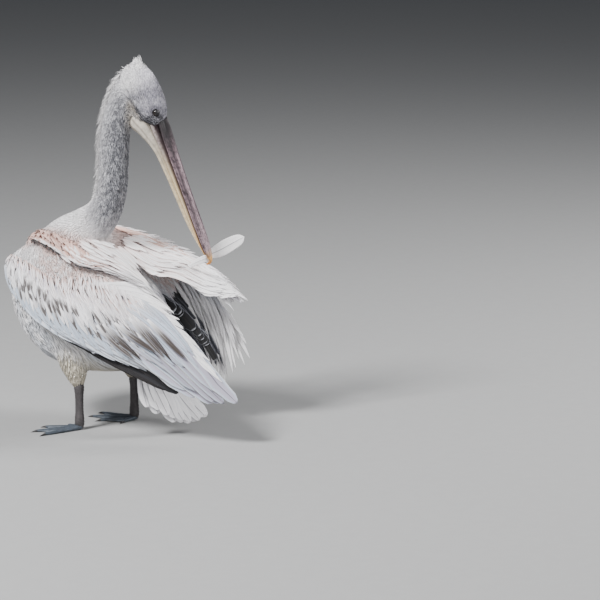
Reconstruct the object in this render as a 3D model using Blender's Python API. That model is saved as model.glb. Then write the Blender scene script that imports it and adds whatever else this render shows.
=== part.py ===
"""Pelican standing and preening: a still, life-size model with every part of the body as its own solid.

Axes: +X is the bird's left, -Y is the way the body faces, +Z is up. The soles lie on z = 0 and the
origin is under the middle of the model's box. Everything is in metres.
"""
import math

import bmesh
import bpy
import numpy as np
from mathutils import Vector

# ---------------------------------------------------------------- driving dimensions
GAP = 0.0004                 # clearance that a piece keeps to its neighbour
ORIGIN_SHIFT = (0.0083, -0.0460, 0.0)   # from between the feet to under the middle of the box

STANDING_HEIGHT = 0.80       # sole to the tip of the crest
CULMEN = 0.336               # bill length along its ridge
BILL_WIDTH = 0.044           # widest, across both mandibles
BILL_DEPTH = 0.023           # upper mandible at its base
NECK_RADIUS = 0.0340         # half the feathered neck
EYE_RADIUS = 0.0075
TARSUS_RADIUS = 0.0092
FOOT_LENGTH = 0.096          # heel to the longest toe
SOLE_THICKNESS = 0.0065
CLAW_LENGTH = 0.013
LEG_LEFT = (0.072, -0.026)   # where each shank stands, X and Y
LEG_RIGHT = (-0.066, 0.024)
ANKLE_HEIGHT = 0.090
TAIL_FEATHERS = 9
WING_BLADE = 0.0035          # thickness of a feather edge
WING_BODY = 0.020            # thickness of a wing along its middle

HEAD_TURN = math.radians(28.0)   # how far the top of the bill is turned out of the neck's plane
NECK_SIDES = 16
TRUNK_SIDES = 22

COLOURS = {
    "down": (0.78, 0.77, 0.78, 0.85),
    "speckled": (0.55, 0.56, 0.62, 0.85),
    "rust": (0.78, 0.64, 0.60, 0.85),
    "covert": (0.72, 0.68, 0.70, 0.80),
    "blue_grey": (0.50, 0.54, 0.62, 0.75),
    "white": (0.88, 0.87, 0.87, 0.80),
    "dark": (0.05, 0.045, 0.05, 0.60),
    "cream": (0.66, 0.62, 0.54, 0.90),
    "mandible_upper": (0.42, 0.31, 0.34, 0.40),
    "mandible_lower": (0.72, 0.56, 0.36, 0.45),
    "pouch": (0.62, 0.57, 0.50, 0.60),
    "nail": (0.80, 0.48, 0.10, 0.35),
    "iris": (0.10, 0.06, 0.04, 0.10),
    "leg": (0.07, 0.08, 0.10, 0.50),
    "claw": (0.04, 0.04, 0.045, 0.35),
}


# ---------------------------------------------------------------- small helpers
def clear_scene():
    """Remove whatever the scene holds."""
    for item in list(bpy.data.objects):
        bpy.data.objects.remove(item, do_unlink=True)


def material(key):
    """Return the Principled material of a finish, made the first time it is asked for."""
    if key in bpy.data.materials:
        return bpy.data.materials[key]
    red, green, blue, rough = COLOURS[key]
    made = bpy.data.materials.new(key)
    made.use_nodes = True
    shader = made.node_tree.nodes["Principled BSDF"]
    shader.inputs["Base Color"].default_value = (red, green, blue, 1.0)
    shader.inputs["Roughness"].default_value = rough
    shader.inputs["Metallic"].default_value = 0.0
    made.diffuse_color = (red, green, blue, 1.0)
    return made


def unit(vector):
    """Return a vector scaled to length one."""
    vector = np.asarray(vector, dtype=float)
    return vector / max(float(np.linalg.norm(vector)), 1e-12)


def curve_through(rows, count):
    """Sample a smooth Catmull-Rom curve through the rows at count evenly spread places."""
    rows = np.asarray(rows, dtype=float)
    padded = np.vstack([2 * rows[0] - rows[1], rows, 2 * rows[-1] - rows[-2]])
    out = []
    for place in np.linspace(0.0, len(rows) - 1.0, count):
        index = min(int(place), len(rows) - 2)
        t = place - index
        a, b, c, d = padded[index:index + 4]
        out.append(0.5 * (2 * b + (c - a) * t + (2 * a - 5 * b + 4 * c - d) * t * t
                          + (3 * b - a - 3 * c + d) * t ** 3))
    return np.array(out)


def finish(name, mesh_data, key, smooth=40.0):
    """Turn a bmesh into a named object with its material, normals out and round faces smooth."""
    bmesh.ops.recalc_face_normals(mesh_data, faces=mesh_data.faces)
    mesh = bpy.data.meshes.new(name)
    mesh_data.to_mesh(mesh)
    mesh_data.free()
    mesh.shade_smooth()
    mesh.set_sharp_from_angle(angle=math.radians(smooth))
    made = bpy.data.objects.new(name, mesh)
    mesh.materials.append(material(key))
    bpy.context.scene.collection.objects.link(made)
    return made


def shifted(point):
    """Move a point from between the feet to the model's own origin."""
    return Vector((point[0] + ORIGIN_SHIFT[0], point[1] + ORIGIN_SHIFT[1], point[2] + ORIGIN_SHIFT[2]))


def loft(name, rows, sides, key, side_hint=(1, 0, 0), power=2.0, grow=0.0, count=None, smooth=40.0,
         tangents=None):
    """Skin a closed solid over rings set square to a spine.

    Each row is x, y, z, half width, half height above and half height below. Widths run along the
    side hint. Power 2 is an ellipse and more is boxier. Grow swells the whole solid. Tangents turn
    the rings, where they have to match those of a neighbour.
    """
    table = curve_through(rows, count or len(rows))
    spine = table[:, :3]
    if tangents is None:
        tangents = np.gradient(spine, axis=0)
    rings = []
    mesh_data = bmesh.new()
    for index, row in enumerate(table):
        along = unit(tangents[index])
        lateral = unit(np.asarray(side_hint, dtype=float) - np.dot(side_hint, along) * along)
        above = np.cross(lateral, along)
        centre = row[:3].copy()
        if index == 0:
            centre -= along * grow
        if index == len(table) - 1:
            centre += along * grow
        ring = []
        for step in range(sides):
            angle = 2 * math.pi * step / sides
            cosine = math.cos(angle)
            sine = math.sin(angle)
            wide = math.copysign(abs(cosine) ** (2 / power), cosine)
            high = math.copysign(abs(sine) ** (2 / power), sine)
            reach = row[4] if sine > 0 else row[5]
            spot = centre + lateral * wide * (max(row[3], 0.0008) + grow)
            spot = spot + above * high * (max(reach, 0.0008) + grow)
            ring.append(mesh_data.verts.new(shifted(spot)))
        rings.append((ring, mesh_data.verts.new(shifted(centre)) if index in (0, len(table) - 1) else None))
    for (first, _), (second, _) in zip(rings, rings[1:]):
        for step in range(sides):
            after = (step + 1) % sides
            mesh_data.faces.new((first[step], first[after], second[after], second[step]))
    for ring, pole in (rings[0], rings[-1]):
        for step in range(sides):
            mesh_data.faces.new((ring[step], ring[(step + 1) % sides], pole))
    return finish(name, mesh_data, key, smooth)


def shell(name, rail_top, rail_low, bulge, key, span=(0.0, 1.0), band=(0.0, 1.0), along=12, across=8,
          thick=WING_BODY, edge=WING_BLADE, tips=0, tip_length=0.0, outward=(1, 0, 0), drop=0.0,
          grow=0.0):
    """Make a curved plate of feathers between two rails.

    Span picks the stretch from front to back, band the part from the lower rail (0) to the upper
    one (1). Bulge is how far the middle stands out. Tips scallops the back edge into that many
    feather ends. Drop sets the plate's outer face inward, and grow swells it all round.
    """
    upper = curve_through(rail_top, 60)
    lower = curve_through(rail_low, 60)

    def spot(u, v):
        place = np.clip(u, 0, 1) * 59
        index = min(int(place), 58)
        blend = place - index
        high = upper[index] * (1 - blend) + upper[index + 1] * blend
        low = lower[index] * (1 - blend) + lower[index + 1] * blend
        chord = high - low
        run = unit((upper[index + 1] + lower[index + 1]) - (upper[index] + lower[index]))
        out = unit(np.cross(run, unit(chord)))
        if np.dot(out, outward) < 0:
            out = -out
        swell = bulge * math.sin(math.pi * min(max(v, 0.0), 1.0)) * (1 - 0.55 * u)
        return low + chord * v + out * swell, out, run

    mesh_data = bmesh.new()
    faces_out = []
    faces_in = []
    for i in range(along + 1):
        row_out = []
        row_in = []
        for j in range(across + 1):
            u = span[0] + (span[1] - span[0]) * i / along
            share = j / across
            v = band[0] + (band[1] - band[0]) * share
            place, out, run = spot(u, v)
            if tips and i == along:
                place = place + run * tip_length * abs(math.sin(math.pi * tips * share)) ** 0.8
            rise = math.sin(math.pi * share) ** 0.6 if 0 < share < 1 else 0.0
            lead = min(1.0, 0.25 + 4.0 * i / along)
            trail = min(1.0, 3.0 * (along - i) / along)
            depth = edge + (thick - edge) * rise * lead * trail
            near = place - out * drop
            row_out.append(near + out * grow)
            row_in.append(near - out * (depth + grow))
            if grow:
                push = (unit(upper[30] - lower[30]) * (grow if j == across else -grow if j == 0 else 0.0)
                        + run * (grow if i == along else -grow if i == 0 else 0.0))
                row_out[-1] = row_out[-1] + push
                row_in[-1] = row_in[-1] + push
        faces_out.append([mesh_data.verts.new(shifted(p)) for p in row_out])
        faces_in.append([mesh_data.verts.new(shifted(p)) for p in row_in])
    for i in range(along):
        for j in range(across):
            a, b = faces_out[i], faces_out[i + 1]
            mesh_data.faces.new((a[j], a[j + 1], b[j + 1], b[j]))
            a, b = faces_in[i], faces_in[i + 1]
            mesh_data.faces.new((a[j], b[j], b[j + 1], a[j + 1]))
    for i in range(along):
        for j in (0, across):
            mesh_data.faces.new((faces_out[i][j], faces_out[i + 1][j], faces_in[i + 1][j], faces_in[i][j]))
    for j in range(across):
        for i in (0, along):
            mesh_data.faces.new((faces_out[i][j], faces_out[i][j + 1], faces_in[i][j + 1], faces_in[i][j]))
    bmesh.ops.triangulate(mesh_data, faces=mesh_data.faces)
    return finish(name, mesh_data, key)


def keep_largest(piece):
    """Leave only the biggest connected body of a piece."""
    mesh_data = bmesh.new()
    mesh_data.from_mesh(piece.data)
    bmesh.ops.remove_doubles(mesh_data, verts=mesh_data.verts, dist=0.00002)
    mesh_data.verts.ensure_lookup_table()
    unseen = set(mesh_data.verts)
    groups = []
    while unseen:
        stack = [unseen.pop()]
        group = list(stack)
        while stack:
            for link in stack.pop().link_edges:
                for vert in link.verts:
                    if vert in unseen:
                        unseen.remove(vert)
                        stack.append(vert)
                        group.append(vert)
        groups.append(group)

    def bulk(group):
        total = 0.0
        for face in {face for vert in group for face in vert.link_faces}:
            total += face.calc_area()
        return total

    groups.sort(key=bulk)
    for group in groups[:-1]:
        bmesh.ops.delete(mesh_data, geom=group, context="VERTS")
    bmesh.ops.triangulate(mesh_data, faces=mesh_data.faces)
    bmesh.ops.dissolve_degenerate(mesh_data, edges=mesh_data.edges, dist=0.00002)
    mesh_data.to_mesh(piece.data)
    mesh_data.free()


def carve(piece, cutters):
    """Cut each cutter away from the piece and keep the main body that is left."""
    for index, cutter in enumerate(cutters):
        cutter.hide_render = True
        cutter.display_type = "WIRE"
        step = piece.modifiers.new("cut_%d" % index, "BOOLEAN")
        step.operation = "DIFFERENCE"
        step.solver = "EXACT"
        step.object = cutter
    graph = bpy.context.evaluated_depsgraph_get()
    cut = bpy.data.meshes.new_from_object(piece.evaluated_get(graph))
    piece.modifiers.clear()
    piece.data = cut
    keep_largest(piece)
    return piece


def discard(items):
    """Remove cutters that have done their work."""
    for item in items:
        bpy.data.objects.remove(item, do_unlink=True)


# ---------------------------------------------------------------- the trunk
# x, y, z of the spine, half width, half height above, half height below
TRUNK_ROWS = (
    (0.0, -0.232, 0.322, 0.004, 0.004, 0.004),
    (0.0, -0.224, 0.320, 0.044, 0.052, 0.058),
    (0.0, -0.198, 0.313, 0.078, 0.086, 0.100),
    (0.0, -0.155, 0.303, 0.103, 0.112, 0.135),
    (0.0, -0.098, 0.288, 0.116, 0.128, 0.158),
    (0.0, -0.035, 0.269, 0.117, 0.128, 0.158),
    (0.0, 0.025, 0.248, 0.108, 0.117, 0.143),
    (0.0, 0.080, 0.224, 0.088, 0.096, 0.116),
    (0.0, 0.122, 0.201, 0.064, 0.070, 0.082),
    (0.0, 0.152, 0.181, 0.040, 0.042, 0.048),
    (0.0, 0.170, 0.168, 0.018, 0.018, 0.020),
    (0.0, 0.175, 0.164, 0.002, 0.002, 0.002),
)


def trunk(name="trunk", grow=0.0):
    """Make the breast, belly, flanks and rump as one egg."""
    return loft(name, TRUNK_ROWS, TRUNK_SIDES, "down", grow=grow, power=2.15)


# ---------------------------------------------------------------- neck and head
NECK_ROWS = (
    (0.0, -0.140, 0.330, 0.082, 0.064, 0.070),
    (0.0, -0.124, 0.368, 0.076, 0.066, 0.070),
    (0.0, -0.094, 0.404, 0.064, 0.058, 0.062),
    (0.0, -0.052, 0.434, 0.052, 0.047, 0.052),
    (0.0, -0.012, 0.464, 0.043, 0.040, 0.043),
    (0.0, 0.014, 0.508, 0.0355, 0.0345, 0.0355),
    (0.0, 0.022, 0.555, NECK_RADIUS, NECK_RADIUS, 0.0350),
    (-0.002, 0.023, 0.605, NECK_RADIUS, 0.0345, 0.0350),
    (-0.006, 0.025, 0.653, NECK_RADIUS, 0.0345, 0.0345),
    (-0.012, 0.033, 0.697, 0.0330, 0.0350, 0.0345),
    (-0.016, 0.046, 0.734, 0.0310, 0.0325, 0.0310),
    (-0.018, 0.066, 0.757, 0.0270, 0.0280, 0.0240),
    (-0.018, 0.085, 0.762, 0.0200, 0.0200, 0.0160),
)
NECK_STEPS = 31
NECK_CUTS = {"neck_lower": (0, 12), "neck_middle": (12, 20), "neck_upper": (20, 30)}


def neck(name, grow=0.0):
    """Make one length of the S-shaped neck, cut square to the spine at its ends."""
    table = curve_through(NECK_ROWS, NECK_STEPS)
    tangents = np.gradient(table[:, :3], axis=0)
    first, last = NECK_CUTS[name]
    rows = [list(row) for row in table[first:last + 1]]
    if first > 0:
        rows[0][:3] = list(table[first, :3] + unit(tangents[first]) * GAP)
    key = {"neck_lower": "down", "neck_middle": "speckled", "neck_upper": "speckled"}[name]
    return loft(name if not grow else name + "_cutter", rows, NECK_SIDES, key, grow=grow,
                tangents=tangents[first:last + 1])


BILL_ROOT = np.array([-0.034, 0.126, 0.6725])
BILL_FORWARD = unit((-0.0902, 0.0723, -0.3176))
SKULL_UP = unit(np.cross(unit((0.845, 0.498, 0.190)), BILL_FORWARD))
SKULL_SIDE = unit(np.cross(SKULL_UP, BILL_FORWARD))
BILL_UP = unit(SKULL_UP * math.cos(HEAD_TURN) - SKULL_SIDE * math.sin(HEAD_TURN))
BILL_LEFT = unit(np.cross(BILL_UP, BILL_FORWARD))


def on_head(forward, above, left=0.0):
    """Give the world place of a point of the head, from the root of the bill."""
    return BILL_ROOT + BILL_FORWARD * forward + BILL_UP * above + BILL_LEFT * left


def head_rows(rows):
    """Turn rows of forward, above, half width, height above, height below into rows for a loft."""
    return [list(on_head(row[0], row[1])) + list(row[2:]) for row in rows]


# forward, above, half width, half height above, half height below
HEAD_ROWS = (
    (-0.1380, -0.0330, 0.0020, 0.0020, 0.0020),
    (-0.1350, -0.0320, 0.0180, 0.0160, 0.0160),
    (-0.1240, -0.0285, 0.0275, 0.0300, 0.0280),
    (-0.1020, -0.0215, 0.0335, 0.0380, 0.0370),
    (-0.0750, -0.0160, 0.0355, 0.0400, 0.0400),
    (-0.0480, -0.0130, 0.0340, 0.0385, 0.0370),
    (-0.0250, -0.0090, 0.0290, 0.0335, 0.0310),
    (-0.0080, -0.0050, 0.0245, 0.0230, 0.0240),
    (0.0000, -0.0030, 0.0215, 0.0160, 0.0185),
)


def head(name="head", grow=0.0):
    """Make the feathered skull, from the nape to the root of the bill."""
    return loft(name, head_rows(HEAD_ROWS), 16, "speckled", side_hint=tuple(-BILL_LEFT), grow=grow,
                count=11)


# forward, above, half width, half height above, half height below
UPPER_ROWS = (
    (0.0005, 0.0020, 0.0205, 0.0120, 0.0080),
    (0.0350, 0.0010, 0.0190, 0.0100, 0.0075),
    (0.0900, -0.0005, 0.0175, 0.0080, 0.0065),
    (0.1600, -0.0015, 0.0172, 0.0066, 0.0055),
    (0.2300, -0.0020, 0.0180, 0.0056, 0.0045),
    (0.2800, -0.0020, 0.0172, 0.0048, 0.0038),
    (0.3060, -0.0022, 0.0135, 0.0042, 0.0026),
    (0.3160, -0.0024, 0.0100, 0.0040, 0.0022),
)
NAIL_ROWS = (
    (0.3164, -0.0026, 0.0096, 0.0040, 0.0026),
    (0.3230, -0.0038, 0.0075, 0.0040, 0.0030),
    (0.3290, -0.0070, 0.0055, 0.0036, 0.0034),
    (0.3325, -0.0125, 0.0036, 0.0026, 0.0028),
    (0.3325, -0.0175, 0.0012, 0.0010, 0.0010),
)
LOWER_ROWS = (
    (0.0005, -0.0170, 0.0205, 0.0070, 0.0080),
    (0.0350, -0.0148, 0.0185, 0.0068, 0.0085),
    (0.0900, -0.0135, 0.0165, 0.0058, 0.0080),
    (0.1600, -0.0125, 0.0150, 0.0050, 0.0070),
    (0.2300, -0.0115, 0.0140, 0.0042, 0.0060),
    (0.2800, -0.0112, 0.0115, 0.0034, 0.0048),
    (0.3060, -0.0108, 0.0070, 0.0024, 0.0032),
    (0.3140, -0.0108, 0.0024, 0.0012, 0.0016),
)
POUCH_ROWS = (
    (-0.0640, -0.0800, 0.0040, 0.0040, 0.0030),
    (-0.0520, -0.0780, 0.0180, 0.0200, 0.0180),
    (-0.0250, -0.0620, 0.0210, 0.0270, 0.0230),
    (0.0050, -0.0450, 0.0200, 0.0210, 0.0170),
    (0.0500, -0.0310, 0.0165, 0.0120, 0.0105),
    (0.1000, -0.0265, 0.0145, 0.0090, 0.0080),
    (0.1700, -0.0230, 0.0128, 0.0070, 0.0070),
    (0.2400, -0.0195, 0.0105, 0.0060, 0.0060),
    (0.2920, -0.0150, 0.0055, 0.0034, 0.0028),
)


def eye(name, side, grow=0.0):
    """Make an eyeball on the left (1) or right (-1) of the head."""
    ball = bmesh.new()
    bmesh.ops.create_uvsphere(ball, u_segments=10, v_segments=7, radius=EYE_RADIUS + grow)
    centre = shifted(on_head(-0.0285, 0.0050, side * 0.0222))
    bmesh.ops.translate(ball, verts=ball.verts, vec=centre)
    return finish(name, ball, "iris", 180.0)


def head_pieces():
    """Make the skull, crest, bill, pouch and eyes, each carved clear of the next."""
    skull = head()
    pouch = loft("pouch", head_rows(POUCH_ROWS), 12, "pouch", side_hint=tuple(-BILL_LEFT), count=12)
    upper = loft("bill_upper", head_rows(UPPER_ROWS), 12, "mandible_upper",
                 side_hint=tuple(-BILL_LEFT), count=11, power=2.3)
    nail = loft("bill_nail", head_rows(NAIL_ROWS), 8, "nail", side_hint=tuple(-BILL_LEFT), count=7)
    lower = loft("bill_lower", head_rows(LOWER_ROWS), 12, "mandible_lower",
                 side_hint=tuple(-BILL_LEFT), count=11)
    upper_cutter = loft("cut_upper", head_rows(UPPER_ROWS), 12, "mandible_upper",
                        side_hint=tuple(-BILL_LEFT), count=11, power=2.3, grow=GAP)
    lower_cutter = loft("cut_lower", head_rows(LOWER_ROWS), 12, "mandible_lower",
                        side_hint=tuple(-BILL_LEFT), count=11, grow=GAP)
    carve(lower, [upper_cutter])
    carve(skull, [upper_cutter, lower_cutter])
    head_cutter = head("cut_head", grow=GAP)
    necks = [neck("neck_upper", grow=GAP), neck("neck_middle", grow=GAP)]
    carve(pouch, [upper_cutter, lower_cutter, head_cutter] + necks)
    for side, label in ((1, "left"), (-1, "right")):
        cutter = eye("cut_eye", side, grow=GAP)
        carve(skull, [cutter])
        discard([cutter])
        eye("eye_" + label, side)
    crest_cutters = [head_cutter, necks[0]]
    carve(crest(), crest_cutters)
    carve(bpy.data.objects["neck_upper"], [head_cutter])
    discard([upper_cutter, lower_cutter, head_cutter] + necks)
    return nail, upper


CREST_SPIKES = 5
# forward and above of the crest's outline, from the crown over its peak to the nape
CREST_EDGE = ((-0.1080, 0.0170), (-0.1300, 0.0130), (-0.1500, 0.0030), (-0.1420, -0.0240), (-0.1300, -0.0560))
CREST_CORE = (-0.0900, -0.0240)


def crest():
    """Make the tuft of narrow feathers that stands up from the nape."""
    mesh_data = bmesh.new()
    edge = curve_through(CREST_EDGE, CREST_SPIKES * 2 + 1)
    core = np.array(CREST_CORE)
    rings = []
    for step, outline in enumerate(edge):
        fan = outline - core
        notch = 1.0 if step % 2 else 0.90
        tip = core + fan * notch * 1.04
        shoulder = core + fan * 0.72
        inner = core + fan * 0.40
        half = 0.0170
        loop = (on_head(*inner, half * 0.9), on_head(*shoulder, half), on_head(*tip, 0.0014),
                on_head(*tip, -0.0014), on_head(*shoulder, -half), on_head(*inner, -half * 0.9))
        rings.append([mesh_data.verts.new(shifted(p)) for p in loop])
    for first, second in zip(rings, rings[1:]):
        for k in range(6):
            mesh_data.faces.new((first[k], first[(k + 1) % 6], second[(k + 1) % 6], second[k]))
    mesh_data.faces.new(rings[0])
    mesh_data.faces.new(list(reversed(rings[-1])))
    bmesh.ops.triangulate(mesh_data, faces=mesh_data.faces)
    return finish("crest", mesh_data, "white", 30.0)


# ---------------------------------------------------------------- legs and feet
# angle from straight ahead towards the outside, length as a share of the foot
TOES = (("hallux", -62.0, 0.42), ("inner", -24.0, 0.80), ("middle", 2.0, 1.00), ("outer", 25.0, 0.96))
WEB_SAG = 0.16               # how far the web's edge is drawn back between two toes
FOOT_TURN = {"left": 44.0, "right": 20.0}   # towards +X
HUB_RADIUS = 0.0105
HUB_HEIGHT = 0.0150


def thigh(side, foot, grow=0.0):
    """Make the feathered upper leg, from inside the belly to the ankle."""
    x, y = foot
    rows = (
        (x * 0.92, y - 0.022, 0.205, 0.030, 0.050, 0.050),
        (x * 0.96, y - 0.020, 0.170, 0.031, 0.050, 0.046),
        (x * 0.99, y - 0.014, 0.138, 0.027, 0.041, 0.034),
        (x, y - 0.006, 0.112, 0.020, 0.026, 0.023),
        (x, y - 0.001, 0.094, 0.0135, 0.0150, 0.0150),
        (x, y, ANKLE_HEIGHT, 0.0120, 0.0125, 0.0125),
    )
    return loft("thigh_" + side, rows, 12, "cream", side_hint=(1, 0, 0), grow=grow, count=8)


def shank(side, foot, grow=0.0):
    """Make the bare scaled leg between the feathered ankle and the toes."""
    x, y = foot
    rows = (
        (x, y, ANKLE_HEIGHT, 0.0098, 0.0108, 0.0112),
        (x, y, 0.072, 0.0092, 0.0100, 0.0106),
        (x, y, 0.050, 0.0082, 0.0094, 0.0098),
        (x, y, 0.030, 0.0088, 0.0098, 0.0100),
        (x, y, HUB_HEIGHT + GAP, 0.0098, 0.0104, 0.0102),
    )
    return loft("shank_" + side, rows, 12, "leg", side_hint=(1, 0, 0), count=8, grow=grow)


def foot_reach(angle):
    """Give the foot's outline at an angle: toe tips, with the web drawn back between them."""
    for (_, first, length_a), (_, second, length_b) in zip(TOES, TOES[1:]):
        if first <= angle <= second:
            share = (angle - first) / (second - first)
            straight = length_a + (length_b - length_a) * share
            return FOOT_LENGTH * straight * (1 - WEB_SAG * math.sin(math.pi * share) ** 0.7)
    return FOOT_LENGTH * 0.3


def foot(side, place):
    """Make a webbed foot: four toes joined by skin, flat below."""
    mirror = 1 if side == "left" else -1
    x, y = place
    turn = math.radians(FOOT_TURN[side])
    stations = []
    for (_, first, _), (_, second, _) in zip(TOES, TOES[1:]):
        for step in range(3):
            stations.append(first + (second - first) * (0.0, 0.14, 0.5)[step])
    stations.append(TOES[-1][1])
    toe_angles = [toe[1] for toe in TOES]
    rings = 6
    mesh_data = bmesh.new()
    hub_top = mesh_data.verts.new(shifted((x, y, HUB_HEIGHT)))
    hub_low = mesh_data.verts.new(shifted((x, y, 0.0)))

    def place_of(angle, reach, height):
        heading = mirror * math.radians(angle) + turn
        return shifted((x + math.sin(heading) * reach, y - math.cos(heading) * reach, height))

    columns = []
    for angle in stations:
        nearest = min(abs(angle - toe) for toe in toe_angles)
        on_toe = nearest < 0.5
        reach = foot_reach(angle)
        column = []
        for ring in range(1, rings + 1):
            share = ring / rings
            span = HUB_RADIUS + (reach - HUB_RADIUS) * share
            span = HUB_RADIUS if ring == 1 else span
            thick = SOLE_THICKNESS * (1.25 - 0.45 * share) if on_toe else 0.0028
            thick = HUB_HEIGHT - 0.002 if ring == 1 else thick
            thick = max(thick, 0.0085) if ring == 2 and on_toe else thick
            column.append((place_of(angle, span, thick), place_of(angle, span, 0.0)))
        columns.append(column)
    back = []
    for step in range(1, 5):
        angle = TOES[-1][1] + (360.0 - TOES[-1][1] + TOES[0][1]) * step / 5
        back.append((place_of(angle, HUB_RADIUS, HUB_HEIGHT - 0.002), place_of(angle, HUB_RADIUS, 0.0)))
    top = [[mesh_data.verts.new(pair[0]) for pair in column] for column in columns]
    low = [[mesh_data.verts.new(pair[1]) for pair in column] for column in columns]
    back_top = [mesh_data.verts.new(pair[0]) for pair in back]
    back_low = [mesh_data.verts.new(pair[1]) for pair in back]
    for grid, flip in ((top, False), (low, True)):
        for first, second in zip(grid, grid[1:]):
            for a, b, c, d in zip(first, first[1:], second[1:], second):
                mesh_data.faces.new((a, d, c, b) if flip else (a, b, c, d))
    rim_top = [column[0] for column in top] + back_top
    rim_low = [column[0] for column in low] + back_low
    count = len(rim_top)
    for k in range(count):
        mesh_data.faces.new((hub_top, rim_top[k], rim_top[(k + 1) % count]))
        mesh_data.faces.new((hub_low, rim_low[(k + 1) % count], rim_low[k]))
    loop_top = top[0][::-1] + back_top[::-1] + top[-1]
    loop_low = low[0][::-1] + back_low[::-1] + low[-1]
    outer_top = [column[-1] for column in reversed(top[:-1])]
    outer_low = [column[-1] for column in reversed(low[:-1])]
    loop_top += outer_top
    loop_low += outer_low
    for k in range(len(loop_top) - 1):
        if loop_top[k] is loop_top[k + 1]:
            continue
        mesh_data.faces.new((loop_top[k], loop_top[k + 1], loop_low[k + 1], loop_low[k]))
    bmesh.ops.triangulate(mesh_data, faces=mesh_data.faces)
    made = finish("foot_" + side, mesh_data, "leg", 35.0)
    for label, angle, length in TOES:
        start = FOOT_LENGTH * length + GAP * 1.5
        splay = -9.0 if label == "hallux" else 0.0
        claw(side, label, place_of(angle + splay * 0.25, start + (0.0006 if splay else 0.0), 0.0),
             place_of(angle + splay, start + CLAW_LENGTH, 0.0))
    return made


def claw(side, label, root, tip):
    """Make the small curved nail at the end of a toe, resting on the ground."""
    mesh_data = bmesh.new()
    run = (tip - root).normalized()
    wide = Vector((-run.y, run.x, 0.0))
    rings = []
    for share, half, high in ((0.0, 0.0026, 0.0052), (0.45, 0.0021, 0.0046), (0.8, 0.0013, 0.0030)):
        centre = root + (tip - root) * share
        ring = []
        for k in range(6):
            angle = math.pi * k / 5
            ring.append(mesh_data.verts.new(centre + wide * half * math.cos(angle)
                                            + Vector((0, 0, high * math.sin(angle)))))
        rings.append(ring)
    end = mesh_data.verts.new(tip)
    for first, second in zip(rings, rings[1:]):
        for k in range(6):
            mesh_data.faces.new((first[k], first[(k + 1) % 6], second[(k + 1) % 6], second[k]))
    mesh_data.faces.new(rings[0])
    for k in range(6):
        mesh_data.faces.new((rings[-1][k], rings[-1][(k + 1) % 6], end))
    bmesh.ops.triangulate(mesh_data, faces=mesh_data.faces)
    return finish("claw_%s_%s" % (side, label), mesh_data, "claw", 60.0)


# ---------------------------------------------------------------- wings and tail
LEFT_TOP = (
    (0.072, -0.170, 0.390), (0.099, -0.118, 0.406), (0.102, -0.060, 0.386), (0.099, 0.005, 0.362),
    (0.089, 0.066, 0.351), (0.072, 0.130, 0.328), (0.056, 0.195, 0.278), (0.042, 0.255, 0.212),
    (0.030, 0.312, 0.140),
)
LEFT_LOW = (
    (0.086, -0.194, 0.320), (0.126, -0.155, 0.287), (0.142, -0.108, 0.254), (0.146, -0.040, 0.223),
    (0.143, 0.030, 0.200), (0.130, 0.100, 0.174), (0.106, 0.165, 0.150), (0.082, 0.225, 0.120),
    (0.056, 0.285, 0.086),
)
LEFT_VANE_TOP = (
    (0.1250, -0.020, 0.224), (0.1220, 0.040, 0.208), (0.1080, 0.105, 0.183), (0.0880, 0.165, 0.152),
    (0.0680, 0.210, 0.124),
)
LEFT_VANE_LOW = (
    (0.1350, -0.020, 0.208), (0.1320, 0.040, 0.190), (0.1180, 0.105, 0.160), (0.0960, 0.170, 0.130),
    (0.0760, 0.212, 0.108),
)
RIGHT_TOP = (
    (-0.074, -0.172, 0.390), (-0.110, -0.119, 0.404), (-0.126, -0.060, 0.394), (-0.136, 0.005, 0.378),
    (-0.144, 0.060, 0.358), (-0.152, 0.110, 0.334), (-0.160, 0.155, 0.300), (-0.168, 0.195, 0.258),
    (-0.173, 0.224, 0.212),
)
RIGHT_LOW = (
    (-0.088, -0.194, 0.320), (-0.131, -0.157, 0.284), (-0.154, -0.108, 0.246), (-0.166, -0.040, 0.210),
    (-0.172, 0.025, 0.180), (-0.174, 0.080, 0.150), (-0.172, 0.125, 0.122), (-0.168, 0.160, 0.104),
    (-0.162, 0.184, 0.098),
)
RIGHT_VANE_TOP = (
    (-0.0900, 0.085, 0.302), (-0.1020, 0.120, 0.278), (-0.1130, 0.152, 0.245), (-0.1230, 0.180, 0.208),
    (-0.1290, 0.198, 0.172),
)
RIGHT_VANE_LOW = (
    (-0.1000, 0.060, 0.262), (-0.1130, 0.095, 0.236), (-0.1250, 0.127, 0.205), (-0.1350, 0.154, 0.172),
    (-0.1400, 0.176, 0.146),
)
MANTLE_LEFT_IN = (
    (0.0004, -0.172, 0.410), (0.0004, -0.085, 0.428), (0.0004, -0.010, 0.408), (0.0020, 0.050, 0.380),
    (0.0130, 0.098, 0.340), (0.0300, 0.148, 0.299), (0.0400, 0.190, 0.266),
)
MANTLE_LEFT_OUT = (
    (0.074, -0.166, 0.402), (0.100, -0.112, 0.414), (0.105, -0.056, 0.397), (0.102, 0.004, 0.371),
    (0.093, 0.060, 0.360), (0.078, 0.118, 0.337), (0.062, 0.168, 0.302),
)
MANTLE_RIGHT_IN = (
    (-0.0004, -0.172, 0.410), (-0.0004, -0.085, 0.428), (-0.0004, -0.010, 0.408),
    (-0.0060, 0.050, 0.380), (-0.0260, 0.105, 0.344), (-0.0560, 0.150, 0.332),
    (-0.0920, 0.188, 0.300), (-0.1220, 0.218, 0.288), (-0.1420, 0.240, 0.282),
)
MANTLE_RIGHT_OUT = (
    (-0.074, -0.166, 0.402), (-0.108, -0.112, 0.415), (-0.122, -0.056, 0.413), (-0.128, 0.000, 0.404),
    (-0.134, 0.050, 0.390), (-0.143, 0.100, 0.372), (-0.156, 0.150, 0.344), (-0.170, 0.195, 0.310),
    (-0.182, 0.230, 0.272),
)
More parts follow.
